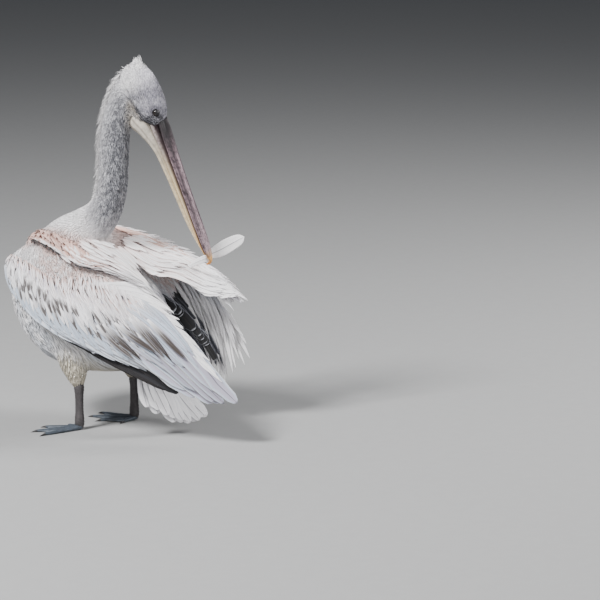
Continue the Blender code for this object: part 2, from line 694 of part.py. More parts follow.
TAIL_LEFT = ((0.034, 0.108, 0.165), (0.054, 0.122, 0.105), (0.068, 0.146, 0.044))
TAIL_RIGHT = ((-0.034, 0.140, 0.165), (-0.050, 0.180, 0.100), (-0.060, 0.216, 0.040))
# place along, half width; the shaft of the long feather held in the bill
HELD_WIDTHS = (0.0030, 0.0065, 0.0080, 0.0040, 0.0095, 0.0150, 0.0158, 0.0120, 0.0030)


def held_feather():
    """Make the long white scapular drawn up through the tip of the bill."""
    grip = on_head(0.3160, -0.00800)
    face_along = unit((-0.515, 0.857, 0.0))
    face_up = unit((-0.164, -0.098, 0.982))
    toward = unit((0.841, 0.505, 0.191))
    base = grip - face_along * 0.042 - face_up * 0.022 - toward * 0.004
    tip = grip + face_along * 0.080 + face_up * 0.044 - toward * 0.022
    spots = (base, base * 0.5 + grip * 0.5 + toward * 0.007, grip - BILL_LEFT * 0.0110,
             grip, grip + BILL_LEFT * 0.0110 + face_along * 0.001,
             grip * 0.70 + tip * 0.30 - toward * 0.010, grip * 0.42 + tip * 0.58 - toward * 0.006,
             grip * 0.15 + tip * 0.85 - toward * 0.002, tip)
    flat_here = (0.0, 0.3, 0.9, 1.0, 0.95, 0.45, 0.15, 0.0, 0.0)
    table = curve_through([list(p) + [w, f] for p, w, f in zip(spots, HELD_WIDTHS, flat_here)], 17)
    mesh_data = bmesh.new()
    rings = []
    tangents = np.gradient(table[:, :3], axis=0)
    for row, tangent in zip(table, tangents):
        along = unit(tangent)
        share = min(max(row[4], 0.0), 1.0)
        wide = unit(np.cross(toward, along)) * (1 - share) - BILL_FORWARD * share
        wide = unit(wide - np.dot(wide, along) * along)
        thin = unit(np.cross(along, wide))
        half = max(row[3], 0.0012)
        ring = []
        for across, lift in ((-1.0, 0.0), (-0.12, 0.00065), (0.12, 0.00065), (1.0, 0.0),
                             (0.12, -0.00065), (-0.12, -0.00065)):
            spot = row[:3] + wide * half * across + thin * lift
            ring.append(mesh_data.verts.new(shifted(spot)))
        rings.append(ring)
    for first, second in zip(rings, rings[1:]):
        for k in range(6):
            mesh_data.faces.new((first[k], first[(k + 1) % 6], second[(k + 1) % 6], second[k]))
    mesh_data.faces.new(rings[0])
    mesh_data.faces.new(list(reversed(rings[-1])))
    bmesh.ops.triangulate(mesh_data, faces=mesh_data.faces)
    return finish("held_feather", mesh_data, "white", 50.0)


def mantle_left(name, grow=0.0):
    """Make the left half of the mantle with the left scapulars streaming from it."""
    return shell(name, MANTLE_LEFT_IN, MANTLE_LEFT_OUT, 0.018, "rust", along=10, across=8, tips=4,
                 tip_length=0.026, thick=0.024, edge=0.006, outward=(0.3, 0, 1), grow=grow)


def wings():
    """Make both folded wings, the mantle feathers over them, and the tail."""
    body = trunk("cut_trunk", grow=GAP)
    low_neck = neck("neck_lower", grow=GAP)
    made = []
    made.append(shell("wing_left_coverts", LEFT_TOP, LEFT_LOW, 0.026, "covert", span=(0.0, 0.56),
                      along=10, across=7, thick=0.034))
    made.append(shell("wing_left_tertials", LEFT_TOP, LEFT_LOW, 0.026, "white", span=(0.562, 1.0),
                      band=(0.42, 1.0), along=6, across=9, tips=3, tip_length=0.030, thick=0.014))
    made.append(shell("wing_left_secondaries", LEFT_TOP, LEFT_LOW, 0.026, "blue_grey",
                      span=(0.562, 0.96), band=(0.0, 0.415), along=6, across=6, tips=2,
                      tip_length=0.018, thick=0.014))
    made.append(shell("wing_right_coverts", RIGHT_TOP, RIGHT_LOW, 0.026, "covert", span=(0.0, 0.56),
                      along=10, across=7, thick=0.034, outward=(-1, 0, 0)))
    made.append(shell("wing_right_tertials", RIGHT_TOP, RIGHT_LOW, 0.026, "white", span=(0.562, 1.0),
                      band=(0.50, 1.0), along=6, across=9, tips=3, tip_length=0.034, thick=0.010,
                      outward=(-1, 0, 0)))
    made.append(shell("wing_right_secondaries", RIGHT_TOP, RIGHT_LOW, 0.026, "white",
                      span=(0.562, 1.0), band=(0.0, 0.495), along=6, across=9, tips=3,
                      tip_length=0.034, thick=0.010, outward=(-1, 0, 0)))
    primaries_left = shell("wing_left_primaries", LEFT_VANE_TOP, LEFT_VANE_LOW, 0.003, "dark",
                           along=7, across=4, thick=0.007, edge=0.003, tips=1, tip_length=0.014)
    primaries_right = shell("wing_right_primaries", RIGHT_VANE_TOP, RIGHT_VANE_LOW, 0.004, "dark",
                            along=6, across=4, thick=0.014, edge=0.006, tips=1, tip_length=0.010,
                            outward=(1, 0, 0))
    scapulars = [mantle_left("scapulars_left")]
    scapulars.append(shell("scapulars_right", MANTLE_RIGHT_IN, MANTLE_RIGHT_OUT, 0.014, "white",
                           along=11, across=8, tips=4, tip_length=0.024, thick=0.018, edge=0.006,
                           outward=(-0.2, 0, 1)))
    over = mantle_left("cut_mantle", grow=GAP)
    for piece in made[:3]:
        carve(piece, [body, over])
    for piece in made[3:]:
        carve(piece, [body])
    carve(scapulars[1], [body, low_neck, over])
    carve(scapulars[0], [body, low_neck])
    discard([over])
    tail = shell("tail", TAIL_LEFT, TAIL_RIGHT, 0.014, "white", along=5, across=14,
                 tips=7, tip_length=0.012, thick=0.014, outward=(0, 1, 0.3))
    carve(tail, [body])
    discard([body, low_neck])
    held_feather()
    return tail


def build():
    """Build every piece in order, from the trunk out to the feather tips."""
    clear_scene()
    trunk()
    neck("neck_lower")
    neck("neck_middle")
    neck("neck_upper")
    body = trunk("cut_trunk", grow=GAP)
    carve(bpy.data.objects["neck_lower"], [body])
    for side, place in (("left", LEG_LEFT), ("right", LEG_RIGHT)):
        bone = shank(side, place, grow=GAP)
        carve(thigh(side, place), [body, bone])
        discard([bone])
        shank(side, place)
        foot(side, place)
    discard([body])
    head_pieces()
    wings()


build()
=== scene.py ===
"""Looks of the preening pelican: skin, feathers, bill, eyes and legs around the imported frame.

Axes as in the frame: +X is the bird's left, -Y is the way the body faces, +Z is up, in metres.
"""
import logging
import math
from dataclasses import dataclass, replace
from enum import Enum
from typing import Callable, Sequence

import bmesh
import bpy
import numpy as np
from mathutils import Matrix, Vector
from mathutils.bvhtree import BVHTree


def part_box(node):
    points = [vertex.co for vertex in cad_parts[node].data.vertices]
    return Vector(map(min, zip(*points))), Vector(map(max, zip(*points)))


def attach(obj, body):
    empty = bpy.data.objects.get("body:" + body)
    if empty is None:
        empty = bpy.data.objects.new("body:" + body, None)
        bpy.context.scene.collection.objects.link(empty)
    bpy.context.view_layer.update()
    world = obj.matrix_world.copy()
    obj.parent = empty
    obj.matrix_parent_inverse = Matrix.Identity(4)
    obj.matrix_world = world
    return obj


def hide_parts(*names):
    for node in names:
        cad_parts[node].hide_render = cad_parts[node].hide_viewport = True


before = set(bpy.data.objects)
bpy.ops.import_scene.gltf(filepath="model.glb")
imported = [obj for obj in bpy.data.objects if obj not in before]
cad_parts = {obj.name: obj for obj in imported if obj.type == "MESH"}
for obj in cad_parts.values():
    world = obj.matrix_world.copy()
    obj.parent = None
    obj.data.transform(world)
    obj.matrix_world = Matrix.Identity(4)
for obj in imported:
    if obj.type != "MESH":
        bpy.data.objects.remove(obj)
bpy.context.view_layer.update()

LOG = logging.getLogger("pelican")
Array = np.ndarray
MM = 0.001


# ---- small helpers
def unit(rows: Array) -> Array:
    """Scale each row vector to length one."""
    rows = np.asarray(rows, dtype=float)
    return rows / np.maximum(np.linalg.norm(rows, axis=-1, keepdims=True), 1e-12)


def flat_on(rows: Array, normals: Array) -> Array:
    """Lay vectors into the planes square to the normals, at length one."""
    return unit(rows - np.sum(rows * normals, axis=-1, keepdims=True) * normals)


def ramp(low: float, high: float, value: Array) -> Array:
    """Rise smoothly from 0 at low to 1 at high, or fall where high is the smaller."""
    share = np.clip((np.asarray(value, dtype=float) - low) / (high - low), 0.0, 1.0)
    return share * share * (3.0 - 2.0 * share)


def mix(first: Array, second: Array, share: Array) -> Array:
    """Blend two colours or points by a share that may differ from row to row."""
    share = np.asarray(share, dtype=float)[..., None]
    return np.asarray(first) * (1.0 - share) + np.asarray(second) * share


def linear(code: str) -> Array:
    """Turn a hex sRGB colour into linear red, green and blue."""
    parts = (int(code[place:place + 2], 16) / 255.0 for place in (1, 3, 5))
    return np.array([part / 12.92 if part <= 0.04045 else ((part + 0.055) / 1.055) ** 2.4 for part in parts])


def curve_through(rows: Sequence, count: int) -> Array:
    """Sample a smooth Catmull-Rom curve through the rows.

    Args:
        rows: The values that the curve passes through, one row each.
        count: How many samples to take, evenly spread over the rows.

    Returns:
        The samples, one row each.
    """
    rows = np.asarray(rows, dtype=float)
    padded = np.vstack([2 * rows[0] - rows[1], rows, 2 * rows[-1] - rows[-2]])
    place = np.linspace(0.0, len(rows) - 1.0, count)
    index = np.minimum(place.astype(int), len(rows) - 2)
    t = (place - index)[:, None]
    a, b, c, d = (padded[index + step] for step in range(4))
    return 0.5 * (2 * b + (c - a) * t + (2 * a - 5 * b + 4 * c - d) * t * t
                  + (3 * b - a - 3 * c + d) * t ** 3)


def blotches(points: Array, size: float, seed: int = 0) -> Array:
    """Smooth random values from 0 to 1 over space.

    Args:
        points: Places, one row each.
        size: The width of a blotch in metres.
        seed: Which pattern to give.

    Returns:
        One value for each place.
    """
    scaled = np.asarray(points, dtype=float) / size + 31.7 * seed
    cell = np.floor(scaled).astype(np.int64)
    share = scaled - cell
    share = share * share * (3.0 - 2.0 * share)
    total = np.zeros(scaled.shape[:-1])
    for corner in range(8):
        step = np.array([corner & 1, corner >> 1 & 1, corner >> 2 & 1])
        spot = cell + step
        mixed = spot[..., 0] * 73856093 ^ spot[..., 1] * 19349663 ^ spot[..., 2] * 83492791
        mixed = (mixed * 2654435761 + seed * 97) & 0xFFFFFFFF
        mixed = ((mixed >> 15) ^ mixed) * 2246822519 & 0xFFFFFFFF
        weight = np.prod(np.where(step == 1, share, 1.0 - share), axis=-1)
        total += weight * ((mixed >> 8 & 0xFFFF) / 65535.0)
    return total


class Tone(Enum):
    """Colours of the bird, as sRGB hex values: plumage first, then bill, feet and eyes."""

    SNOW = "#F4F2F3"
    WHITE = "#E9E7EA"
    PALE_GREY = "#C6C8CF"
    MID_GREY = "#8B8D96"
    SPECKLE = "#3F4048"
    RUST = "#D3A595"
    ROSE = "#D9B6AB"
    PINK = "#E9D6D3"
    BLUE_GREY = "#B3BECD"
    LAVENDER = "#A9A5B4"
    BROWN = "#4C443F"
    UMBER = "#3A312D"
    BLACK = "#17171B"
    CREAM = "#D6CDB9"
    BEIGE = "#B9AC96"
    SLATE = "#4A4647"
    LILAC = "#B59CA4"
    WINE = "#3B2A33"
    ASH = "#242224"
    BUTTER = "#CDB994"
    AMBER = "#D0A064"
    ORANGE = "#C77A18"
    DOVE = "#A79E98"
    MAUVE = "#6B5558"
    PUTTY = "#B9B2A6"
    SAND = "#CDBB9A"
    TAUPE = "#6E6258"
    STEEL = "#4A525C"
    HAZE = "#76838F"
    CLAW = "#2A2728"
    IRIS = "#241A15"
    IRIS_RIM = "#120D0B"
    PUPIL = "#050506"
    SCLERA = "#1A1514"
    LID_EDGE = "#151316"
    LID = "#2A282B"

    @property
    def rgb(self) -> Array:
        """Give the colour in linear light."""
        return linear(self.value)


def placed(name: str, data: bpy.types.ID) -> bpy.types.Object:
    """Put a mesh, lamp or camera into the scene as an object.

    Args:
        name: The name of the piece.
        data: The mesh, lamp or camera.

    Returns:
        The object.
    """
    made = bpy.data.objects.new(name, data)
    bpy.context.scene.collection.objects.link(made)
    return made


def poured(name: str, body: bmesh.types.BMesh) -> bpy.types.Mesh:
    """Turn a finished bmesh into a mesh and free it.

    Args:
        name: The name of the piece.
        body: The finished bmesh.

    Returns:
        The mesh.
    """
    mesh = bpy.data.meshes.new(name)
    body.to_mesh(mesh)
    body.free()
    return mesh


def paint(mesh: bpy.types.Mesh, colours: Array) -> None:
    """Store a linear colour for each vertex as the attribute that the finishes read."""
    layer = mesh.color_attributes.new("plumage", "FLOAT_COLOR", "POINT")
    layer.data.foreach_set("color", np.hstack([colours, np.ones((len(colours), 1))]).ravel())


def dressed(name: str, mesh: bpy.types.Mesh, colours: Array, finish: bpy.types.Material) -> bpy.types.Object:
    """Paint a smooth mesh, give it its finish and put it into the scene.

    Args:
        name: The name of the piece.
        mesh: Its mesh.
        colours: A linear colour for each vertex.
        finish: Its material.

    Returns:
        The object.
    """
    paint(mesh, colours)
    mesh.shade_smooth()
    mesh.materials.append(finish)
    return placed(name, mesh)


def settle(piece: bpy.types.Object, slot: str, *nodes: str) -> bpy.types.Object:
    """Fix a finished piece to the body, for the nodes that it stands for.

    Args:
        piece: The finished piece.
        slot: Not used.
        *nodes: The nodes that it stands for.

    Returns:
        The same piece.
    """
    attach(piece, "root")
    if nodes:
        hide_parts(*nodes)
    LOG.info("%s: %d faces", piece.name, len(piece.data.polygons))
    return piece


# ---- finishes
def add(tree: bpy.types.NodeTree, kind: str, inputs: dict | None = None, take: str | int = 0,
        **settings: object) -> bpy.types.NodeSocket:
    """Add a node to a material.

    Args:
        tree: The material's node tree.
        kind: The shader node's type.
        inputs: A value or another node's output for each input, by name or place.
        take: The output to give.
        **settings: The node's own settings.

    Returns:
        That output of the new node.
    """
    node = tree.nodes.new("ShaderNode" + kind)
    for name, value in settings.items():
        setattr(node, name, value)
    for key, value in (inputs or {}).items():
        if isinstance(value, bpy.types.NodeSocket):
            tree.links.new(value, node.inputs[key])
        else:
            node.inputs[key].default_value = value
    return node.outputs[take]


def new_material(name: str, sockets: dict) -> tuple[bpy.types.Material, bpy.types.NodeTree, bpy.types.Node]:
    """Start a node material, with what is the same all over its surface set on the Principled shader.

    Args:
        name: Its name.
        sockets: The value for each socket.

    Returns:
        The material, its node tree and its shader.
    """
    made = bpy.data.materials.new(name)
    made.use_nodes = True
    shader = made.node_tree.nodes["Principled BSDF"]
    for socket, value in sockets.items():
        shader.inputs[socket].default_value = value
    return made, made.node_tree, shader


@dataclass(frozen=True)
class Finish:
    """A material whose colour is the piece's own attribute, so that skin and coat carry the same markings."""

    name: str

    def sockets(self) -> dict:
        """Give what is the same all over the surface."""
        raise NotImplementedError

    def pattern(self, tree: bpy.types.NodeTree, spots: bpy.types.NodeSocket) -> tuple:
        """Add the nodes of its fine pattern.

        Args:
            tree: The material's nodes.
            spots: Places on the piece, in metres.

        Returns:
            The tone that multiplies the colour, the height, its strength, its depth in metres, and a
            roughness or None.
        """
        raise NotImplementedError

    def material(self) -> bpy.types.Material:
        """Build the material.

        Returns:
            The material.
        """
        made, tree, shader = new_material(self.name, self.sockets())
        colour = add(tree, "Attribute", attribute_name="plumage")
        tone, height, strength, depth, rough = self.pattern(tree, add(tree, "TexCoord", take="Object"))
        shade = add(tree, "VectorMath", {0: colour, "Scale": tone}, operation="SCALE")
        tree.links.new(shade, shader.inputs["Base Color"])
        bump = add(tree, "Bump", {"Height": height, "Strength": strength, "Distance": depth})
        tree.links.new(bump, shader.inputs["Normal"])
        if rough is not None:
            tree.links.new(rough, shader.inputs["Roughness"])
        return made


@dataclass(frozen=True)
class FeatherKeratin(Finish):
    """Feather vanes: beta keratin barbs zipped into a matt satin web, with a soft sheen at the rim."""

    barbs: bool = False
    shaft_dark: float = 0.0
    fleck: float = 1.6 * MM      # barb clumps; real barbs are 0.3 mm apart, too fine to show
    fleck_depth: float = 0.10
    barb_count: float = 46.0     # clumps of barbs along a vane, drawn coarser than life to show

    def sockets(self) -> dict:
        """Give what is the same all over the surface."""
        return {"Roughness": 0.72, "Sheen Weight": 0.25, "Sheen Roughness": 0.5, "Specular IOR Level": 0.28}

    def pattern(self, tree: bpy.types.NodeTree, spots: bpy.types.NodeSocket) -> tuple:
        """Add flecks, and on long vanes slanting barbs and a shaft.

        Args:
            tree: The material's nodes.
            spots: Places on the piece, in metres.

        Returns:
            Tone, height, strength, depth and roughness, as the base class says.
        """
        fleck = add(tree, "TexNoise", {"Vector": spots, "Scale": 1.0 / self.fleck, "Detail": 1.5})
        tone = add(tree, "MapRange", {"Value": fleck, "From Min": 0.3, "From Max": 0.7,
                                      "To Min": 1.0 - self.fleck_depth, "To Max": 1.03})
        if not self.barbs:
            return tone, fleck, 0.25, 0.4 * MM, None
        across = add(tree, "SeparateXYZ", {"Vector": add(tree, "UVMap", uv_map="vane")})
        side = add(tree, "Math", {0: across, 1: 0.5}, operation="SUBTRACT")
        side = add(tree, "Math", {0: side}, operation="ABSOLUTE")
        slant = add(tree, "Math", {0: side, 1: -0.28, 2: across.node.outputs["Y"]}, operation="MULTIPLY_ADD")
        turns = self.barb_count * 2 * math.pi
        phase = add(tree, "Math", {0: slant, 1: turns, 2: fleck}, operation="MULTIPLY_ADD")
        wave = add(tree, "Math", {0: phase}, operation="SINE")
        lines = add(tree, "MapRange", {"Value": wave, "From Min": -1.0, "From Max": 1.0,
                                       "To Min": 0.93, "To Max": 1.02})
        shaft = add(tree, "MapRange", {"Value": side, "From Min": 0.018, "From Max": 0.040,
                                       "To Min": 1.0 - self.shaft_dark, "To Max": 1.0})
        for part in (lines, shaft):
            tone = add(tree, "Math", {0: tone, 1: part}, operation="MULTIPLY")
        height = add(tree, "Math", {0: wave, 1: 0.35, 2: fleck}, operation="MULTIPLY_ADD")
        return tone, height, 0.25, 0.4 * MM, None


@dataclass(frozen=True)
class Horn(Finish):
    """Bill sheath, nail or claw: grown keratin, waxy, with long growth streaks and small flecks."""

    streak: float = 2.4 * MM
    depth: float = 0.35
    axis: tuple = (0.0, 0.0, 1.0)      # the way the streaks run
    fleck: float = 2.6 * MM
    stretch: float = 0.07              # how much finer the pattern is across than along

    def sockets(self) -> dict:
        """Give what is the same all over the surface."""
        return {"Specular IOR Level": 0.45, "IOR": 1.55}

    def pattern(self, tree: bpy.types.NodeTree, spots: bpy.types.NodeSocket) -> tuple:
        """Add streaks and flecks.

        Args:
            tree: The material's nodes.
            spots: Places on the piece, in metres.

        Returns:
            Tone, height, strength, depth and roughness, as the base class says.
        """
        turn = Vector(self.axis).to_track_quat("Z", "Y").inverted().to_euler()
        turned = add(tree, "Mapping", {"Vector": spots, "Rotation": turn}, vector_type="POINT")
        drawn = add(tree, "Mapping", {"Vector": turned, "Scale": (1.0, 1.0, self.stretch)})
        streak = add(tree, "TexNoise", {"Vector": drawn, "Scale": 1 / self.streak, "Detail": 3.0})
        fleck = add(tree, "TexNoise", {"Vector": spots, "Scale": 1 / self.fleck, "Detail": 0.0})
        tone = add(tree, "MapRange", {"Value": streak, "From Min": 0.36, "From Max": 0.62,
                                      "To Min": 1.0 - self.depth, "To Max": 1.06})
        dots = add(tree, "MapRange", {"Value": fleck, "From Min": 0.62, "From Max": 0.74,
                                      "To Min": 1.0, "To Max": 1.0 - self.depth})
        tone = add(tree, "Math", {0: tone, 1: dots}, operation="MULTIPLY")
        rough = add(tree, "MapRange", {"Value": streak, "To Min": 0.32, "To Max": 0.54})
        return tone, streak, 0.5, 0.35 * MM, rough


@dataclass(frozen=True)
class BareSkin(Finish):
    """Naked leathery skin on legs, pouch and lids: small plates with dull creases between."""

    plate: float = 2.6 * MM
    crease: float = 0.45
    roughness: float = 0.5
    cloud: float = 9.0909 * MM

    def sockets(self) -> dict:
        """Give what is the same all over the surface."""
        return {"Roughness": self.roughness, "Specular IOR Level": 0.4}

    def pattern(self, tree: bpy.types.NodeTree, spots: bpy.types.NodeSocket) -> tuple:
        """Add the plates, and clouds that wear them.

        Args:
            tree: The material's nodes.
            spots: Places on the piece, in metres.

        Returns:
            Tone, height, strength, depth and roughness, as the base class says.
        """
        plates = add(tree, "TexVoronoi", {"Vector": spots, "Scale": 1 / self.plate}, feature="DISTANCE_TO_EDGE")
        seam = add(tree, "MapRange", {"Value": plates, "From Min": 0.0, "From Max": 0.14,
                                      "To Min": 1.0 - self.crease, "To Max": 1.0})
        cloud = add(tree, "TexNoise", {"Vector": spots, "Scale": 1 / self.cloud, "Detail": 3.0})
        worn = add(tree, "MapRange", {"Value": cloud, "From Min": 0.35, "From Max": 0.65,
                                      "To Min": 0.82, "To Max": 1.18})
        return add(tree, "Math", {0: seam, 1: worn}, operation="MULTIPLY"), seam, 0.6, 0.4 * MM, None


# ---- the pose, as in the frame
class Limb(Enum):
    """Regions of the skin, by the CAD nodes that they come from."""

    TRUNK = ("trunk",)
    NECK = ("neck_lower", "neck_middle", "neck_upper")
    HEAD = ("head",)
    THIGH = ("thigh_left", "thigh_right")
    MANTLE_LEFT = ("scapulars_left",)
    MANTLE_RIGHT = ("scapulars_right",)
    WING_LEFT = ("wing_left_coverts",)
    WING_RIGHT = ("wing_right_coverts",)


LIMBS = list(Limb)
BETWEEN_FEET = np.array([0.0083, -0.0460, 0.0])   # the point between the feet, in the frame
EYE = (-0.0285, 0.0050, 0.0178)                   # its middle: forward, above and aside on the head


@dataclass(frozen=True)
class Plate:
    """The curved sheet that a wing's or the tail's feathers lie on, between an upper and a lower rail."""

    upper: tuple     # in millimetres from the point between the feet
    lower: tuple
    bulge: float     # in millimetres
    outward: tuple

    def rails(self, steps: int) -> tuple[Array, Array]:
        """Sample the upper and the lower rail, in metres."""
        return tuple(curve_through(np.array(rail) / 1000, steps) for rail in (self.upper, self.lower))

    def at(self, along: Array, across: Array, rise: Array | float = 0.0) -> tuple[Array, Array]:
        """Find places on the sheet.

        Args:
            along: 0 at the front of the rails and 1 at their back end; more runs on past it.
            across: 0 on the lower rail and 1 on the upper one.
            rise: How far outside the sheet the place lies.

        Returns:
            The places and the outward directions there.
        """
        steps = 60
        along, across = np.broadcast_arrays(np.asarray(along, float), np.asarray(across, float))
        place = np.clip(along, 0.0, 1.0) * (steps - 1)
        index = np.minimum(place.astype(int), steps - 2)
        share = (place - index)[..., None]
        high_rail, low_rail = self.rails(steps)
        high = high_rail[index] * (1 - share) + high_rail[index + 1] * share
        low = low_rail[index] * (1 - share) + low_rail[index + 1] * share
        leap = high_rail[index + 1] + low_rail[index + 1] - high_rail[index] - low_rail[index]
        chord, run = high - low, unit(leap)
        out = unit(np.cross(run, unit(chord)))
        out = np.where(np.sum(out * np.array(self.outward), axis=-1, keepdims=True) < 0, -out, out)
        swell = self.bulge / 1000 * np.sin(np.pi * np.clip(across, 0, 1)) * (1 - 0.55 * np.clip(along, 0, 1))
        beyond = (along - np.clip(along, 0.0, 1.0))[..., None] * np.linalg.norm(leap, axis=-1, keepdims=True)
        spot = low + chord * across[..., None] + out * (swell + rise)[..., None]
        return spot + run * beyond * (steps - 1) / 2 + BETWEEN_FEET, out


@dataclass(frozen=True)
class Stance:
    """Spines and frames of the body, from the point between the feet."""

    neck_spine: tuple = (    # in millimetres
        (0, -140, 330), (0, -124, 368), (0, -94, 404), (0, -52, 434), (0, -12, 464), (0, 14, 508),
        (0, 22, 555), (-2, 23, 605), (-6, 25, 653), (-12, 33, 697), (-16, 46, 734), (-18, 66, 757),
        (-18, 85, 762))
    bill_root: tuple = (-0.034, 0.126, 0.6725)
    bill_forward: tuple = (-0.0902, 0.0723, -0.3176)
    skull_facing: tuple = (0.845, 0.498, 0.190)
    head_turn: float = math.radians(28.0)
    leg_left: tuple = (0.072, -0.026)
    leg_right: tuple = (-0.066, 0.024)

    def spine(self) -> Array:
        """Sample the neck's spine from the breast to the nape."""
        return curve_through(np.array(self.neck_spine) / 1000, 90) + BETWEEN_FEET

    @property
    def head_axes(self) -> tuple[Array, Array, Array]:
        """Give the head's forward, up and left directions.

        Returns:
            Three unit vectors.
        """
        forward = unit(self.bill_forward)
        skull_up = unit(np.cross(unit(self.skull_facing), forward))
        skull_side = unit(np.cross(skull_up, forward))
        up = unit(skull_up * math.cos(self.head_turn) - skull_side * math.sin(self.head_turn))
        return forward, up, unit(np.cross(up, forward))

    def on_head(self, forward: Array, above: Array, left: Array = 0.0) -> Array:
        """Turn head coordinates, measured from the root of the bill, into places.

        Args:
            forward: How far ahead of the root of the bill each place lies.
            above: How far above it.
            left: How far to its left.

        Returns:
            The places.
        """
        axes = self.head_axes
        local = np.stack(np.broadcast_arrays(forward, above, left), axis=-1)
        return np.array(self.bill_root) + BETWEEN_FEET + local @ np.array(axes)

    def from_head(self, points: Array) -> Array:
        """Turn places into head coordinates: forward, above and left."""
        return (points - np.array(self.bill_root) - BETWEEN_FEET) @ np.array(self.head_axes).T

    def along_neck(self, points: Array) -> tuple[Array, Array, Array]:
        """Measure places against the neck's spine.

        Args:
            points: Places, one row each.

        Returns:
            How far up the neck each lies, from 0 to 1, the spine's direction there, towards the
            head, and how far round it lies, from -1 on the nape to 1 on the throat.
        """
        spine = self.spine()
        run = unit(np.gradient(spine, axis=0))
        gaps = ((points[:, None, :] - spine[None]) ** 2).sum(-1)
        index = gaps.argmin(1)
        throat = unit(np.cross(run, np.array([1.0, 0.0, 0.0])))
        throat = np.where(throat[:, 1:2] < 0, -throat, throat)
        radial = unit(points - spine[index])
        return index / 89.0, run[index], np.sum(radial * throat[index], axis=-1)


STANCE = Stance()
LEFT_WING = Plate(
    ((72, -170, 390), (99, -118, 406), (102, -60, 386), (99, 5, 362), (89, 66, 351), (72, 130, 328),
     (56, 195, 278), (42, 255, 212), (30, 312, 140)),
    ((86, -194, 320), (126, -155, 287), (142, -108, 254), (146, -40, 223), (143, 30, 200), (130, 100, 174),
     (106, 165, 150), (82, 225, 120), (56, 285, 86)),
    26, (1, 0, 0))
RIGHT_WING = Plate(
    ((-74, -172, 390), (-110, -119, 404), (-126, -60, 394), (-136, 5, 378), (-144, 60, 358), (-152, 110, 334),
     (-160, 155, 300), (-168, 195, 258), (-173, 224, 212)),
    ((-88, -194, 320), (-131, -157, 284), (-154, -108, 246), (-166, -40, 210), (-172, 25, 180),
     (-174, 80, 150), (-172, 125, 122), (-168, 160, 104), (-162, 184, 98)),
    26, (-1, 0, 0))
LEFT_PRIMARIES = Plate(
    ((125, -20, 224), (122, 40, 208), (108, 105, 183), (88, 165, 152), (68, 210, 124)),
    ((135, -20, 208), (132, 40, 190), (118, 105, 160), (96, 170, 130), (76, 212, 108)),
    3, (1, 0, 0))
RIGHT_PRIMARIES = Plate(
    ((-90, 85, 302), (-102, 120, 278), (-113, 152, 245), (-123, 180, 208), (-129, 198, 172)),
    ((-100, 60, 262), (-113, 95, 236), (-125, 127, 205), (-135, 154, 172), (-140, 176, 146)),
    4, (1, 0, 0))
LEFT_MANTLE = Plate(
    ((0.4, -172, 410), (0.4, -85, 428), (0.4, -10, 408), (2, 50, 380), (13, 98, 340), (30, 148, 299),
     (40, 190, 266)),
    ((74, -166, 402), (100, -112, 414), (105, -56, 397), (102, 4, 371), (93, 60, 360), (78, 118, 337),
     (62, 168, 302)),
    18, (0.3, 0, 1))
RIGHT_MANTLE = Plate(
    ((-0.4, -172, 410), (-0.4, -85, 428), (-0.4, -10, 408), (-6, 50, 380), (-26, 105, 344), (-56, 150, 332),
     (-92, 188, 300), (-122, 218, 288), (-142, 240, 282)),
    ((-74, -166, 402), (-108, -112, 415), (-122, -56, 413), (-128, 0, 404), (-134, 50, 390), (-143, 100, 372),
     (-156, 150, 344), (-170, 195, 310), (-182, 230, 272)),
    14, (-0.2, 0, 1))
TAIL = Plate(
    ((34, 108, 165), (54, 122, 105), (68, 146, 44)),
    ((-34, 140, 165), (-50, 180, 100), (-60, 216, 40)),
    14, (0, 1, 0.3))


